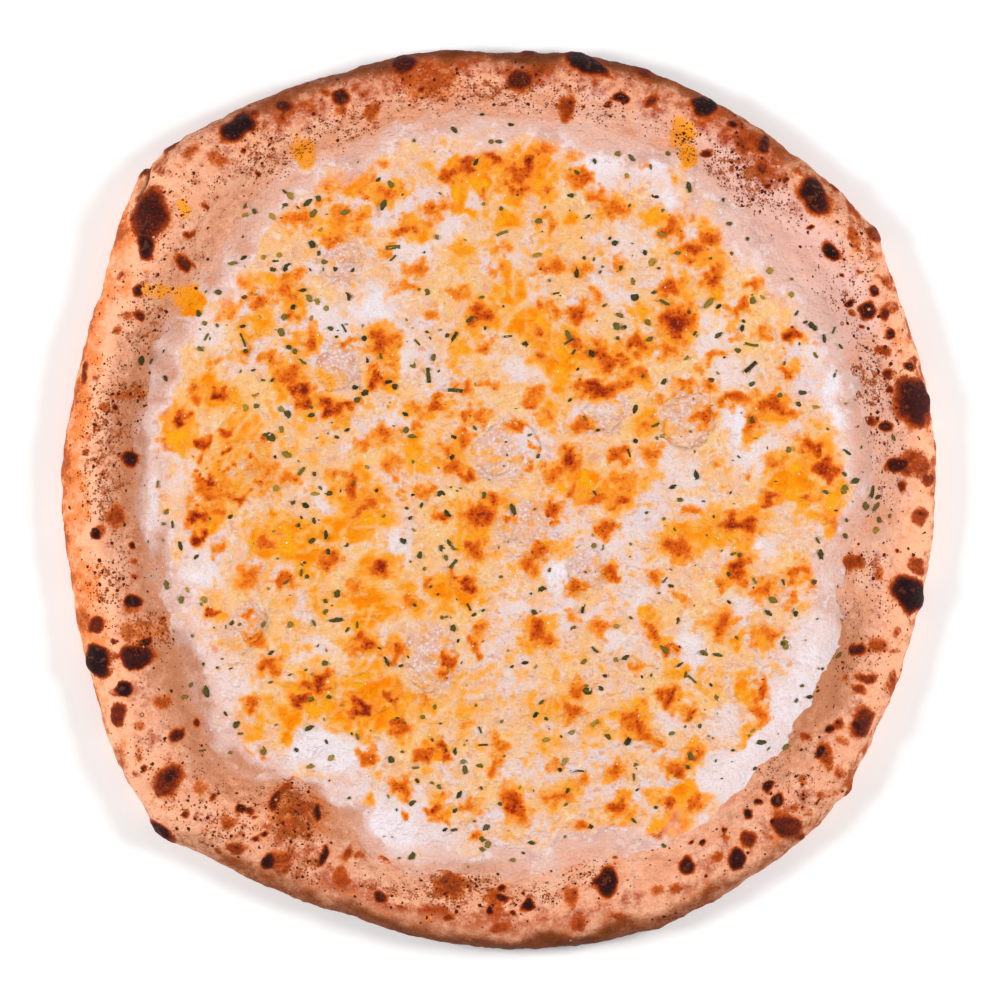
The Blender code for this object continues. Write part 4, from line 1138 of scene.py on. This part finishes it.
# %% Cheese material
# Painted highlights: pale dots that stand for glints of light on the wet fat, in cells this far
# apart.
PAINTED_GLINTS = 1.9 * MM             # spacing of the cells that hold a glint each
BUBBLES = 1.5 * MM            # size of the small bubbles in the melt


def cheese_material(name):
    """Melted cheese that turns to the paler dry crumb of a soft lump where the crumb mask says."""
    material, tree, shader = new_material(name)
    place, masks, waves = surface_inputs(
        tree, ("toast", "yellow", "white", "crumb", "thin", "foot", "flour", "shred"),
        {"patch": 17 * MM, "broad": 9 * MM, "curd": 3.2 * MM, "grain": 1.1 * MM,
         "fine": 0.45 * MM})
    patch, broad, curd, grain, fine = waves.values()
    bubbles = add(tree, "ShaderNodeTexVoronoi",
                  {"Vector": place, "Scale": 1 / BUBBLES}).outputs["Distance"]
    toast = broken(tree, masks["toast"], (curd, 0.6), (grain, 0.35))
    yellow = broken(tree, masks["yellow"], (broad, 1.2), (curd, 1.1), (grain, 0.35))
    white = broken(tree, masks["white"], (broad, 0.8), (curd, 0.8), (grain, 0.4))
    crumb = broken(tree, masks["crumb"], (curd, 1.4), (grain, 0.7))
    thin = broken(tree, masks["thin"], (broad, 0.5), (curd, 0.5), (grain, 0.3))
    browned = add(tree, "ShaderNodeMath", {0: masks["toast"], 1: grain},
                  operation="MULTIPLY").outputs[0]
    # Painted highlights for glints of light on the fat.
    painted_glints = speck_dots(tree, place, broad, PAINTED_GLINTS, 1.5, 0.04, 0.11, soft=0.06)
    # The crumb colour holds painted highlights on the small bubble dots and painted shade in the
    # darker curd patches.
    crumbs = paint_layers(tree, colour("#e5b8aa"), [
        (grain, -0.06, 0.10, colour("#edcbc2")),
        (curd, 0.02, 0.16, colour("#d59a86")),
        (bubbles, 0.44, 0.20, colour("#f6e0dc")),
    ])
    ground = paint_layers(tree, colour("#f3c2a2"), [
        (patch, -0.01, -0.11, colour("#fbcb8c")),
        (broad, -0.02, -0.14, colour("#fdc07c")),
        (patch, 0.01, 0.11, colour("#ecd6d8")),
        (broad, 0.02, 0.13, colour("#f2e0dc")),
        (curd, 0.03, 0.16, colour("#f5e0d6")),
        (curd, -0.06, -0.18, colour("#f0ae84")),
        (grain, 0.10, 0.24, colour("#fcf0ea")),
    ])
    oil = paint_layers(tree, colour("#ff8a00"), [
        (broad, -0.01, 0.14, colour("#ffac18")),
    ])
    film = paint_layers(tree, colour("#edc5b8"), [
        (broad, 0.00, 0.15, colour("#dfb3a6")),
        (curd, 0.02, 0.15, colour("#f3dad6")),
    ])
    dough_edge = paint_layers(tree, colour("#ecab8c"), [
        (masks["flour"], 0.15, 1.1, colour("#f1c1b1")),
        # Oily dough and painted shade: darker at the foot of the rim.
        (masks["foot"], 0.10, 1.10, colour("#ca835c")),
    ])
    skin = paint_layers(tree, ground, [
        (crumb, 0.30, 0.95, crumbs),
        (white, 0.10, 0.58, colour("#f1dad6")),
        (white, 0.60, 1.05, colour("#f5eaef")),
        (yellow, 0.04, 0.62, colour("#ffb558")),
        (yellow, 0.32, 1.00, colour("#ff9e14")),
        (yellow, 0.60, 1.22, oil),
        (broken(tree, masks["shred"], (curd, 1.6), (grain, 1.0)), 0.30, 3.2, colour("#fbe6d8")),
        (toast, 0.04, 0.32, colour("#fd9c30")),
        (toast, 0.22, 0.48, colour("#f07616")),
        (toast, 0.40, 0.70, colour("#d65606")),
        (toast, 0.64, 0.94, colour("#b03406")),
        (toast, 0.80, 1.04, colour("#6a1a12")),
        (browned, 0.03, 0.12, colour("#8e2606")),
        (browned, -0.06, -0.20, colour("#ea7a2c")),
        (thin, 0.04, 0.60, film),
        (thin, 0.62, 1.20, dough_edge),
        # Painted highlights.
        (painted_glints, 0.0, 1.0, colour("#fff4ec")),
    ])
    gloss = add(tree, "ShaderNodeMapRange",
                {0: grain, 1: -0.2, 2: 0.2, 3: 0.08, 4: 0.34}).outputs[0]
    gloss = add(tree, "ShaderNodeMath", {0: masks["crumb"], 1: 0.25, 2: gloss},
                operation="MULTIPLY_ADD").outputs[0]
    finish_surface(tree, shader, skin, gloss, [(curd, 1.4), (grain, 0.8), (fine, 0.45),
                                               (bubbles, -0.25)], 1.2 * MM)
    shader.inputs["Specular IOR Level"].default_value = 0.10
    shader.inputs["Subsurface Weight"].default_value = 0.10
    shader.inputs["Subsurface Radius"].default_value = (1.0, 0.55, 0.3)
    shader.inputs["Subsurface Scale"].default_value = 1.0 * MM
    return material


finish_piece("cheese_melted", cheese_mesh, cheese_material("melted_cheese"),
             "melted_cheese", "cheese")

# %% [markdown]
# ## Lumps of soft cheese
# Spoonfuls of soft fresh cheese dry into pale, pinkish crumbs that sit in the melt. Each starts as
# a fine icosphere, is pressed flat at its node's own place, and gets crumbs from noise: a
# subdivided cube would show its corners. Toast and oil from the cheese round it reach onto it.

# %% Model the lumps
LUMP_THICKNESS = 4.6 * MM
LUMP_UNEVENNESS = 0.16        # as a share of a lump's radius


def lump_mesh(index, length, width, turn, centre):
    """A pressed ball with crumbs, in the middle of its node's box."""
    work = bmesh.new()
    bmesh.ops.create_icosphere(work, subdivisions=6, radius=1)
    half_sizes = (length * MM / 2, width * MM / 2, LUMP_THICKNESS / 2)
    for vertex in work.verts:
        place = vertex.co * 1.7 + Vector((index * 7.3, 0, 0))
        vertex.co *= 1 + LUMP_UNEVENNESS * noise.noise(place)
    bmesh.ops.scale(work, vec=half_sizes, verts=work.verts)
    bmesh.ops.transform(work, verts=work.verts, matrix=Matrix.Translation(centre)
                        @ Matrix.Rotation(math.radians(turn), 4, "Z"))
    work.normal_update()
    mesh = to_mesh(work, "lump")
    points = get_points(mesh)
    normals = get_points(mesh, normals=True)
    crumbs = 0.5 * rough(points, 3.4 * MM, 1.1) + 0.42 * rough(points, 1.5 * MM, 2.7)
    crumbs += 0.2 * rough(points, 0.7 * MM, 7.9)
    set_points(mesh, points + normals * (crumbs[:, None] * MM))
    return mesh


crumb_finish = cheese_material("soft_cheese")
for index, (_x, _y, length, width, turn) in enumerate(SOFT_LUMPS, start=1):
    node = f"soft_cheese_{index:02d}"
    low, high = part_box(node)
    mesh = lump_mesh(index, length, width, turn, (low + high) / 2)
    marks = cheese_fields(get_points(mesh) - CENTRING)
    marks["yellow"] = marks["yellow"] * 0.75
    store(mesh, **marks)
    finish_piece(f"soft_lump_{index:02d}", mesh, crumb_finish, "soft_cheese", node)

# %% [markdown]
# ## Dried herbs
# Oregano-like flakes: bits of dry leaf 1 to 4 mm long, dark green to olive brown, a few thin
# stalks, and crumbled bits under 2 mm. Each is a tiny grid, tapered, curled and laid on whatever is
# below it, which a ray finds. All are one mesh, because hundreds of objects would be slow, and one
# solidify operation gives every leaf its thickness. The lists hold (x, y, length, width) in pixels,
# and a turn where it was plain. The crumbled bits are strewn at seeded random places.

# %% Where the dark flakes lie
DARK_FLAKES = (
    (284, 191, 6, 3), (285, 204, 6, 4), (245, 206, 6, 4), (254, 211, 6, 5), (243, 257, 7, 4),
    (275, 261, 7, 3), (286, 267, 10, 7), (273, 269, 7, 5), (378, 179, 6, 4), (391, 184, 8, 5, 30),
    (383, 205, 12, 6), (308, 202, 12, 5, -60), (313, 213, 10, 6), (318, 198, 7, 6),
    (312, 244, 9, 6), (319, 253, 5, 5), (393, 247, 14, 4, -70), (393, 258, 8, 2), (325, 262, 9, 6),
    (335, 269, 7, 5, -50), (353, 270, 8, 4, -60), (476, 162, 8, 4), (454, 129, 8, 5, -40),
    (414, 140, 4, 3), (491, 141, 5, 5), (499, 141, 7, 4, 80), (511, 124, 6, 4), (501, 208, 5, 4),
    (482, 114, 5, 3), (632, 157, 9, 4, -25), (651, 166, 6, 3, -60), (595, 161, 6, 4, -60),
    (668, 153, 5, 5), (655, 196, 8, 5, 20), (663, 210, 4, 3), (689, 186, 11, 5, 65),
    (571, 195, 7, 5), (577, 172, 6, 4, -60), (588, 216, 8, 3, -80), (539, 221, 8, 6, 30),
    (577, 273, 11, 5, -20), (615, 243, 7, 6), (610, 238, 4, 3), (584, 258, 4, 4),
    (594, 259, 4, 3), (621, 268, 6, 4, 80), (677, 253, 8, 4, 80), (659, 268, 4, 3),
    (645, 252, 6, 4, -20), (730, 223, 6, 4, 60), (748, 238, 4, 4), (732, 253, 4, 4),
    (711, 258, 4, 3), (218, 292, 7, 5, -60), (244, 297, 6, 4), (242, 326, 6, 6), (217, 325, 4, 4),
    (198, 313, 8, 5, 35), (200, 349, 7, 5), (206, 337, 8, 3, 15), (163, 351, 4, 2),
    (142, 360, 10, 8, 60), (151, 361, 6, 3), (281, 332, 8, 7), (284, 317, 7, 6, 45),
    (293, 307, 6, 5), (295, 351, 6, 5), (288, 347, 6, 5), (243, 340, 15, 2, 38), (246, 351, 6, 5),
    (253, 370, 5, 3), (262, 380, 6, 3, -15), (272, 380, 5, 3), (256, 406, 6, 5), (287, 414, 8, 7),
    (270, 437, 13, 8, -60), (265, 435, 5, 4), (165, 378, 7, 4, 80), (157, 484, 7, 2),
    (230, 517, 6, 4, 80), (303, 290, 8, 4, -60), (348, 296, 9, 7, 40), (330, 328, 7, 5, -70),
    (344, 328, 9, 2, 50), (364, 338, 6, 5), (427, 292, 7, 6), (419, 289, 3, 3),
    (470, 319, 9, 5, 60), (482, 297, 5, 4), (485, 328, 4, 3), (427, 332, 4, 3), (447, 335, 5, 4),
    (454, 337, 12, 3, -20), (417, 342, 8, 2, -75), (510, 336, 13, 2, 40), (433, 357, 7, 6),
    (428, 375, 15, 4, 35), (439, 371, 3, 3), (455, 390, 15, 4, -62), (381, 356, 6, 5),
    (367, 360, 6, 4), (365, 393, 8, 7), (357, 400, 7, 6), (355, 387, 6, 5), (388, 382, 8, 4, -50),
    (395, 386, 6, 6), (303, 362, 9, 3, -60), (311, 407, 4, 3), (311, 415, 7, 5), (328, 433, 2, 2),
    (337, 437, 5, 4), (347, 430, 6, 4), (405, 414, 8, 4, -70), (406, 430, 7, 6),
    (412, 436, 10, 4, -10), (454, 437, 6, 4), (475, 428, 6, 3), (452, 457, 6, 5),
    (301, 471, 10, 5, 20), (314, 474, 5, 4), (328, 493, 8, 5, -70), (320, 488, 5, 3),
    (305, 505, 9, 6, -45), (292, 503, 8, 4, 80), (298, 525, 5, 4), (441, 494, 8, 7),
    (413, 495, 4, 3), (421, 505, 6, 4, 10), (484, 495, 7, 5, -40), (447, 514, 9, 5, -45),
    (410, 518, 5, 4), (513, 510, 13, 5, -60), (314, 521, 7, 4, 70), (556, 293, 7, 2, -55),
    (605, 305, 6, 3, 20), (635, 297, 9, 8), (654, 292, 5, 4), (617, 326, 8, 8), (625, 327, 5, 4),
    (620, 315, 8, 5, 60), (618, 338, 5, 4), (650, 339, 8, 5, -30), (665, 303, 12, 4, -35),
    (689, 312, 4, 4), (695, 333, 5, 4), (568, 335, 10, 6, -20), (569, 341, 11, 2, -45),
    (575, 350, 10, 2, -62), (592, 353, 8, 6, -30), (525, 344, 8, 6, 60), (742, 328, 7, 5),
    (718, 335, 10, 5, 80), (738, 350, 7, 5, 80), (752, 345, 13, 3, -25), (751, 367, 15, 4, -38),
    (752, 384, 7, 5, 50), (719, 306, 7, 4, 80), (712, 380, 7, 4, 50), (664, 382, 8, 7),
    (643, 376, 4, 4), (635, 409, 9, 5, -40), (656, 425, 9, 3, -50), (630, 455, 13, 2, 28),
    (538, 456, 5, 4), (595, 493, 6, 3, 80), (697, 475, 10, 6), (673, 487, 8, 4), (680, 500, 6, 5),
    (731, 493, 4, 2), (647, 513, 5, 3), (598, 430, 5, 3, -25), (585, 418, 7, 3, 80),
    (570, 400, 5, 3, 30), (530, 435, 5, 3, 45), (636, 441, 5, 5), (813, 326, 11, 6, -55),
    (825, 338, 8, 4, -20), (806, 322, 5, 3), (797, 313, 6, 3, 50), (834, 330, 7, 2, -45),
    (841, 346, 6, 3), (816, 355, 7, 4, 20), (785, 363, 5, 3), (835, 375, 5, 3),
    (803, 393, 9, 6, -45), (799, 404, 6, 5), (780, 395, 5, 5), (752, 420, 8, 5), (828, 429, 3, 3),
    (862, 447, 4, 2), (848, 452, 9, 3, 80), (845, 474, 6, 4), (856, 481, 9, 6, -60),
    (826, 492, 7, 4, 60), (866, 506, 10, 7, 10), (876, 507, 11, 5, -30), (873, 492, 12, 5, -10),
    (878, 497, 8, 5, -60), (878, 520, 8, 5, 60), (888, 516, 5, 4), (892, 438, 7, 4, 15),
    (846, 536, 6, 5), (847, 520, 4, 3), (821, 554, 12, 6, 70), (818, 540, 8, 3, -70),
    (784, 582, 7, 3, -20), (815, 582, 6, 5), (773, 600, 9, 7, -40), (769, 613, 8, 5),
    (796, 614, 6, 5), (818, 619, 3, 2), (783, 644, 5, 4), (839, 655, 8, 5, -30), (823, 669, 3, 3),
    (803, 686, 5, 4), (797, 701, 5, 4), (810, 697, 7, 4, -60), (762, 743, 10, 6, -20),
    (769, 749, 5, 2), (166, 585, 9, 6), (163, 524, 4, 4), (172, 524, 9, 3, 20),
    (180, 546, 9, 4, -15), (196, 557, 6, 4), (232, 623, 6, 5), (240, 624, 4, 3),
    (191, 685, 7, 4, -70), (206, 692, 12, 7, -10), (217, 668, 3, 3), (271, 653, 7, 4, -70),
    (270, 682, 6, 3), (225, 714, 6, 3, 80), (236, 725, 8, 6), (240, 734, 6, 3, 80),
    (203, 750, 8, 2, 75), (326, 535, 9, 4), (312, 541, 8, 5, -50), (346, 545, 5, 4),
    (328, 552, 6, 5), (301, 572, 8, 3, 80), (307, 577, 5, 4), (286, 582, 9, 3, -50),
    (337, 594, 9, 6), (325, 601, 6, 4, 70), (326, 612, 6, 6), (336, 620, 14, 5, -3),
    (314, 623, 7, 3, 15), (357, 625, 7, 3, 70), (347, 630, 6, 3), (387, 662, 11, 4, 55),
    (401, 666, 5, 3, -50), (325, 664, 7, 6, -45), (306, 670, 4, 3), (311, 699, 8, 5),
    (329, 697, 5, 4), (309, 728, 9, 5), (326, 742, 5, 3, 90), (296, 750, 5, 4),
    (357, 737, 6, 4, 30), (263, 751, 10, 6, -20), (403, 541, 7, 6), (420, 556, 8, 6, 60),
    (449, 543, 7, 4, -10), (441, 548, 7, 4, -60), (446, 558, 7, 4), (453, 548, 9, 4, -75),
    (453, 564, 11, 3, -52), (453, 628, 8, 6, 45), (469, 607, 8, 2, -22), (442, 618, 5, 4),
    (474, 615, 5, 4), (458, 641, 4, 3), (501, 577, 4, 3), (512, 667, 5, 3), (525, 663, 7, 4, 40),
    (480, 730, 7, 2, -20), (483, 745, 9, 2, -45), (584, 662, 7, 5, 70), (626, 658, 9, 5, -10),
    (595, 650, 9, 3, 65), (542, 589, 9, 6, -35), (531, 594, 3, 3), (534, 612, 7, 5, -75),
    (573, 628, 6, 4), (605, 676, 5, 4), (587, 691, 9, 8), (601, 689, 6, 5), (541, 702, 6, 4),
    (536, 715, 7, 6), (546, 719, 4, 4), (608, 737, 7, 5), (628, 742, 9, 7), (665, 650, 12, 5, 60),
    (704, 653, 9, 5, 70), (718, 655, 9, 4, 65), (678, 621, 8, 5), (729, 602, 5, 3, -60),
    (671, 586, 6, 4, -60), (665, 580, 7, 2, -25), (729, 574, 5, 5), (740, 555, 5, 4),
    (733, 554, 6, 3, -60), (680, 665, 9, 3, 75), (686, 675, 8, 3, 70), (692, 679, 11, 2, -42),
    (711, 685, 5, 3, 80), (717, 698, 7, 4, 30), (700, 726, 5, 5), (583, 609, 10, 3, 60),
    (391, 760, 8, 6, -20), (402, 752, 4, 3), (415, 768, 7, 3, -15), (417, 781, 5, 4),
    (432, 783, 5, 3), (439, 787, 6, 4, 70), (412, 857, 9, 7, 70), (412, 803, 8, 5, 30),
    (455, 811, 6, 4, 45), (454, 830, 7, 4, -10), (445, 830, 5, 4), (486, 828, 8, 6),
    (482, 840, 7, 5), (482, 850, 6, 5), (459, 795, 9, 5, -60), (455, 752, 8, 4, -75),
    (465, 770, 9, 6), (480, 766, 6, 5), (500, 804, 5, 4), (691, 757, 9, 5, 70), (688, 767, 5, 4),
    (634, 821, 8, 3, -5), (577, 771, 14, 2, 5), (560, 770, 4, 4), (635, 765, 7, 4, -70),
    (634, 777, 8, 3, -70), (568, 791, 6, 4), (566, 805, 5, 4), (532, 843, 7, 4, 15),
    (591, 827, 5, 5), (656, 808, 4, 4), (664, 846, 6, 4, -60), (755, 769, 5, 3),
)
OLIVE_FLAKES = (
    (290, 195, 9, 6, -30), (245, 215, 7, 7), (272, 216, 8, 5, -25), (232, 263, 9, 4, -60),
    (264, 257, 6, 5), (279, 255, 6, 5), (309, 298, 8, 6), (317, 301, 7, 6), (326, 308, 6, 6),
    (311, 318, 6, 4), (320, 229, 6, 5), (345, 212, 9, 5), (437, 237, 6, 4), (502, 233, 11, 3, 10),
    (618, 153, 6, 6), (627, 175, 5, 5), (662, 234, 8, 5), (652, 262, 9, 7), (537, 255, 8, 7),
    (633, 281, 7, 5), (770, 270, 7, 7), (753, 301, 8, 7), (792, 294, 6, 5), (763, 297, 6, 4),
    (709, 303, 14, 6), (648, 322, 8, 6, -30), (687, 358, 6, 5), (663, 436, 7, 5, -50),
    (413, 365, 6, 6), (287, 455, 10, 7), (276, 488, 7, 7), (281, 409, 7, 6), (281, 429, 7, 5, 80),
    (245, 408, 7, 6), (254, 395, 5, 5), (204, 323, 5, 5), (367, 467, 5, 5), (315, 494, 10, 4, 55),
    (166, 512, 6, 5), (180, 600, 8, 6), (187, 590, 6, 4), (204, 600, 7, 6), (263, 624, 7, 5),
    (185, 697, 8, 5, 80), (290, 625, 7, 6), (414, 530, 5, 3), (594, 546, 6, 6), (572, 733, 7, 5),
    (595, 723, 10, 5, 35), (546, 740, 7, 5), (672, 734, 7, 5, -30), (755, 581, 7, 4, 15),
    (785, 645, 10, 8), (786, 747, 8, 6), (331, 758, 7, 6), (310, 767, 8, 5), (565, 762, 10, 5, -15),
    (463, 762, 6, 5), (488, 845, 7, 7), (513, 861, 6, 5), (753, 731, 6, 3), (816, 407, 9, 6, -30),
    (789, 450, 6, 6), (845, 490, 10, 8), (875, 530, 7, 7), (617, 626, 6, 5), (616, 660, 5, 5),
    (423, 717, 5, 5), (435, 707, 5, 5),
)
print(len(DARK_FLAKES), "dark and", len(OLIVE_FLAKES), "olive flakes")

# %% Model and lay the flakes
FLAKE_THICKNESS = 0.16 * MM
FLAKE_CURL = 0.28             # how far a leaf's ends lift, as a share of its length
BIT_COUNT = 280
BITS_REACH_PX = 375           # how far from the middle the crumbled bits lie
RAY_START = 60 * MM           # well above everything


def topmost(surfaces, x, y):
    """The highest point of any surface at a place, and its normal."""
    start, down = Vector((x, y, RAY_START)), Vector((0, 0, -1))
    hits = [surface.ray_cast(start, down) for surface in surfaces]
    return max((hit for hit in hits if hit[0] is not None), key=lambda hit: hit[0].z)


def add_flake(work, draw, centre, normal, length, width, turn):
    """One leaf: a small grid, tapered, ragged and curled, and laid along the surface."""
    stalk = width < 0.3 * length
    grid = bmesh.ops.create_grid(work, x_segments=4, y_segments=2, size=0.5)["verts"]
    for vertex in grid:
        along, aside = vertex.co.x, vertex.co.y
        taper = 1 if stalk else 1 - 1.5 * abs(along) ** 1.6
        vertex.co.x = along if stalk else along * (1 - 0.25 * abs(aside))
        vertex.co.y = aside * taper
        if not stalk:
            vertex.co.x += draw.uniform(-0.09, 0.09)
            vertex.co.y += draw.uniform(-0.12, 0.12)
        vertex.co.z = FLAKE_CURL * (along * along + 0.3 * aside * aside) + draw.uniform(-0.04, 0.04)
    bmesh.ops.scale(work, vec=(length, width, length), verts=grid)
    lean = normal.to_track_quat("Z", "Y").to_matrix().to_4x4()
    tip = Euler((draw.uniform(-0.2, 0.2), draw.uniform(-0.15, 0.15), 0)).to_matrix().to_4x4()
    seat = Matrix.Translation(centre + normal * 0.12 * MM) @ lean
    seat = seat @ Matrix.Rotation(math.radians(turn), 4, "Z") @ tip
    bmesh.ops.transform(work, matrix=seat, verts=grid)
    return grid


def tiny_bits(draw):
    """Crumbled herb too small to list, strewn over the cheese, as (x, y, length, width)."""
    bits = []
    for _ in range(BIT_COUNT):
        reach, angle = BITS_REACH_PX * math.sqrt(draw.random()), draw.uniform(0, math.tau)
        length = draw.uniform(1.8, 4.4)
        bits.append((MIDDLE_PX[0] + reach * math.cos(angle), MIDDLE_PX[1] + reach * math.sin(angle),
                     length, length * draw.uniform(0.35, 0.9)))
    return bits


def herb_mesh():
    """All flakes and bits in one mesh, where each point holds its flake's tone."""
    draw = random.Random(5)
    depsgraph = bpy.context.evaluated_depsgraph_get()
    below = [piece for piece in bpy.context.scene.objects if piece.type == "MESH"
             and piece.name.startswith(("crust_", "cheese_", "soft_lump"))]
    surfaces = [BVHTree.FromObject(piece, depsgraph) for piece in below]
    work = bmesh.new()
    tone_layer = work.verts.layers.float.new("tone")
    for flakes, low, high in ((DARK_FLAKES, 0.0, 0.5), (OLIVE_FLAKES, 0.6, 1.0),
                              (tiny_bits(draw), 0.0, 1.0)):
        for x, y, length, width, *turned in flakes:
            turn = turned[0] if turned else draw.uniform(0, 180) * (length - width < 2)
            flat = np.array(from_pixels(x, y)) + CENTRING[:2]
            place, normal, _face, _far = topmost(surfaces, *flat)
            made = add_flake(work, draw, place, normal, length * PIXEL * 1.02,
                             width * PIXEL * 0.98, turn)
            tone = draw.uniform(low, high)
            for vertex in made:
                vertex[tone_layer] = tone
    bmesh.ops.recalc_face_normals(work, faces=work.faces)
    bmesh.ops.solidify(work, geom=work.faces[:], thickness=FLAKE_THICKNESS)
    return to_mesh(work, "herbs")


def herb_material():
    """Dried leaf: matt, dark green to olive brown, each flake its own tone with fine veins."""
    material, tree, shader = new_material("dried_herbs")
    place = add(tree, "ShaderNodeTexCoord").outputs["Object"]
    tone = add(tree, "ShaderNodeAttribute", attribute_name="tone").outputs["Fac"]
    veins = add(tree, "ShaderNodeTexNoise", {"Vector": place, "Scale": 1 / (0.5 * MM),
                                             "Detail": 2}).outputs[0]
    skin = paint_layers(tree, colour("#2a2815"), [
        (tone, 0.0, 0.22, colour("#4a451c")),
        (tone, 0.22, 0.55, colour("#786826")),
        (tone, 0.60, 1.0, colour("#ab882a")),
        (veins, 0.50, 0.75, colour("#6e6430")),
    ])
    bump = add(tree, "ShaderNodeBump", {"Height": veins, "Strength": 0.6, "Distance": 0.15 * MM})
    tree.links.new(skin, shader.inputs["Base Color"])
    tree.links.new(bump.outputs[0], shader.inputs["Normal"])
    shader.inputs["Roughness"].default_value = 0.62
    shader.inputs["Specular IOR Level"].default_value = 0.10
    return material


finish_piece("herb_flakes", herb_mesh(), herb_material(), "dried_herbs")

# %% [markdown]
# ## Floor, light and camera
# The photograph was taken from straight above, under soft light from both sides. Two
# large lamps stand left and right, so the far and near edges are a little darker, and a pale world
# fills the shadows. The camera is a long lens 1.6 m up, which keeps the rim from leaning outwards.

# %% Floor, lights and camera
CAMERA_HEIGHT = 1.6
SENSOR_MM = 36
FOCUS_HEIGHT = 8 * MM         # the height on the pizza where the photograph's scale holds
LAMP_SIZE = 0.42
LAMP_DISTANCE = 1.3
LAMP_ELEVATION = 42
LAMP_POWER = 11.5
WORLD_STRENGTH = 0.30
FLOOR_HALF_SIZE = 2


def pale_floor():
    """A plain white floor under the pizza."""
    work = bmesh.new()
    bmesh.ops.create_grid(work, x_segments=1, y_segments=1, size=FLOOR_HALF_SIZE)
    mesh = to_mesh(work, "floor")
    material, _tree, shader = new_material("pale_floor")
    shader.inputs["Base Color"].default_value = colour("#ffffff")
    shader.inputs["Roughness"].default_value = 0.9
    mesh.materials.append(material)
    floor = bpy.data.objects.new("floor", mesh)
    bpy.context.scene.collection.objects.link(floor)


def soft_lamp(name, azimuth, power):
    """A square lamp at a compass angle round the pizza, aimed at its middle."""
    light = bpy.data.lights.new(name, "AREA")
    light.shape = "SQUARE"
    light.size = LAMP_SIZE
    light.energy = power
    lamp = bpy.data.objects.new(name, light)
    level, turn = math.radians(LAMP_ELEVATION), math.radians(azimuth)
    lamp.location = (LAMP_DISTANCE * math.cos(level) * math.cos(turn),
                     LAMP_DISTANCE * math.cos(level) * math.sin(turn),
                     LAMP_DISTANCE * math.sin(level))
    lamp.rotation_euler = lamp.location.to_track_quat("Z", "Y").to_euler()
    bpy.context.scene.collection.objects.link(lamp)


def overhead_camera():
    """The camera straight above, and its lens in millimetres."""
    data = bpy.data.cameras.new("camera")
    data.sensor_width = SENSOR_MM
    data.lens = SENSOR_MM * (CAMERA_HEIGHT - FOCUS_HEIGHT) / (FRAME_PX * PIXEL)
    camera = bpy.data.objects.new("camera", data)
    middle = np.array(from_pixels(FRAME_PX / 2, FRAME_PX / 2)) + CENTRING[:2]
    camera.location = (*middle, CAMERA_HEIGHT)
    bpy.context.scene.collection.objects.link(camera)
    bpy.context.scene.camera = camera
    return data.lens


pale_floor()
soft_lamp("lamp_left", 180, LAMP_POWER)
soft_lamp("lamp_right", 8, LAMP_POWER)
world = bpy.data.worlds.new("studio")
world.use_nodes = True
world.node_tree.nodes["Background"].inputs[0].default_value = colour("#ffffff")
world.node_tree.nodes["Background"].inputs[1].default_value = WORLD_STRENGTH
bpy.context.scene.world = world
bpy.context.scene.view_settings.view_transform = "Standard"
print("lens:", round(overhead_camera(), 1), "mm")
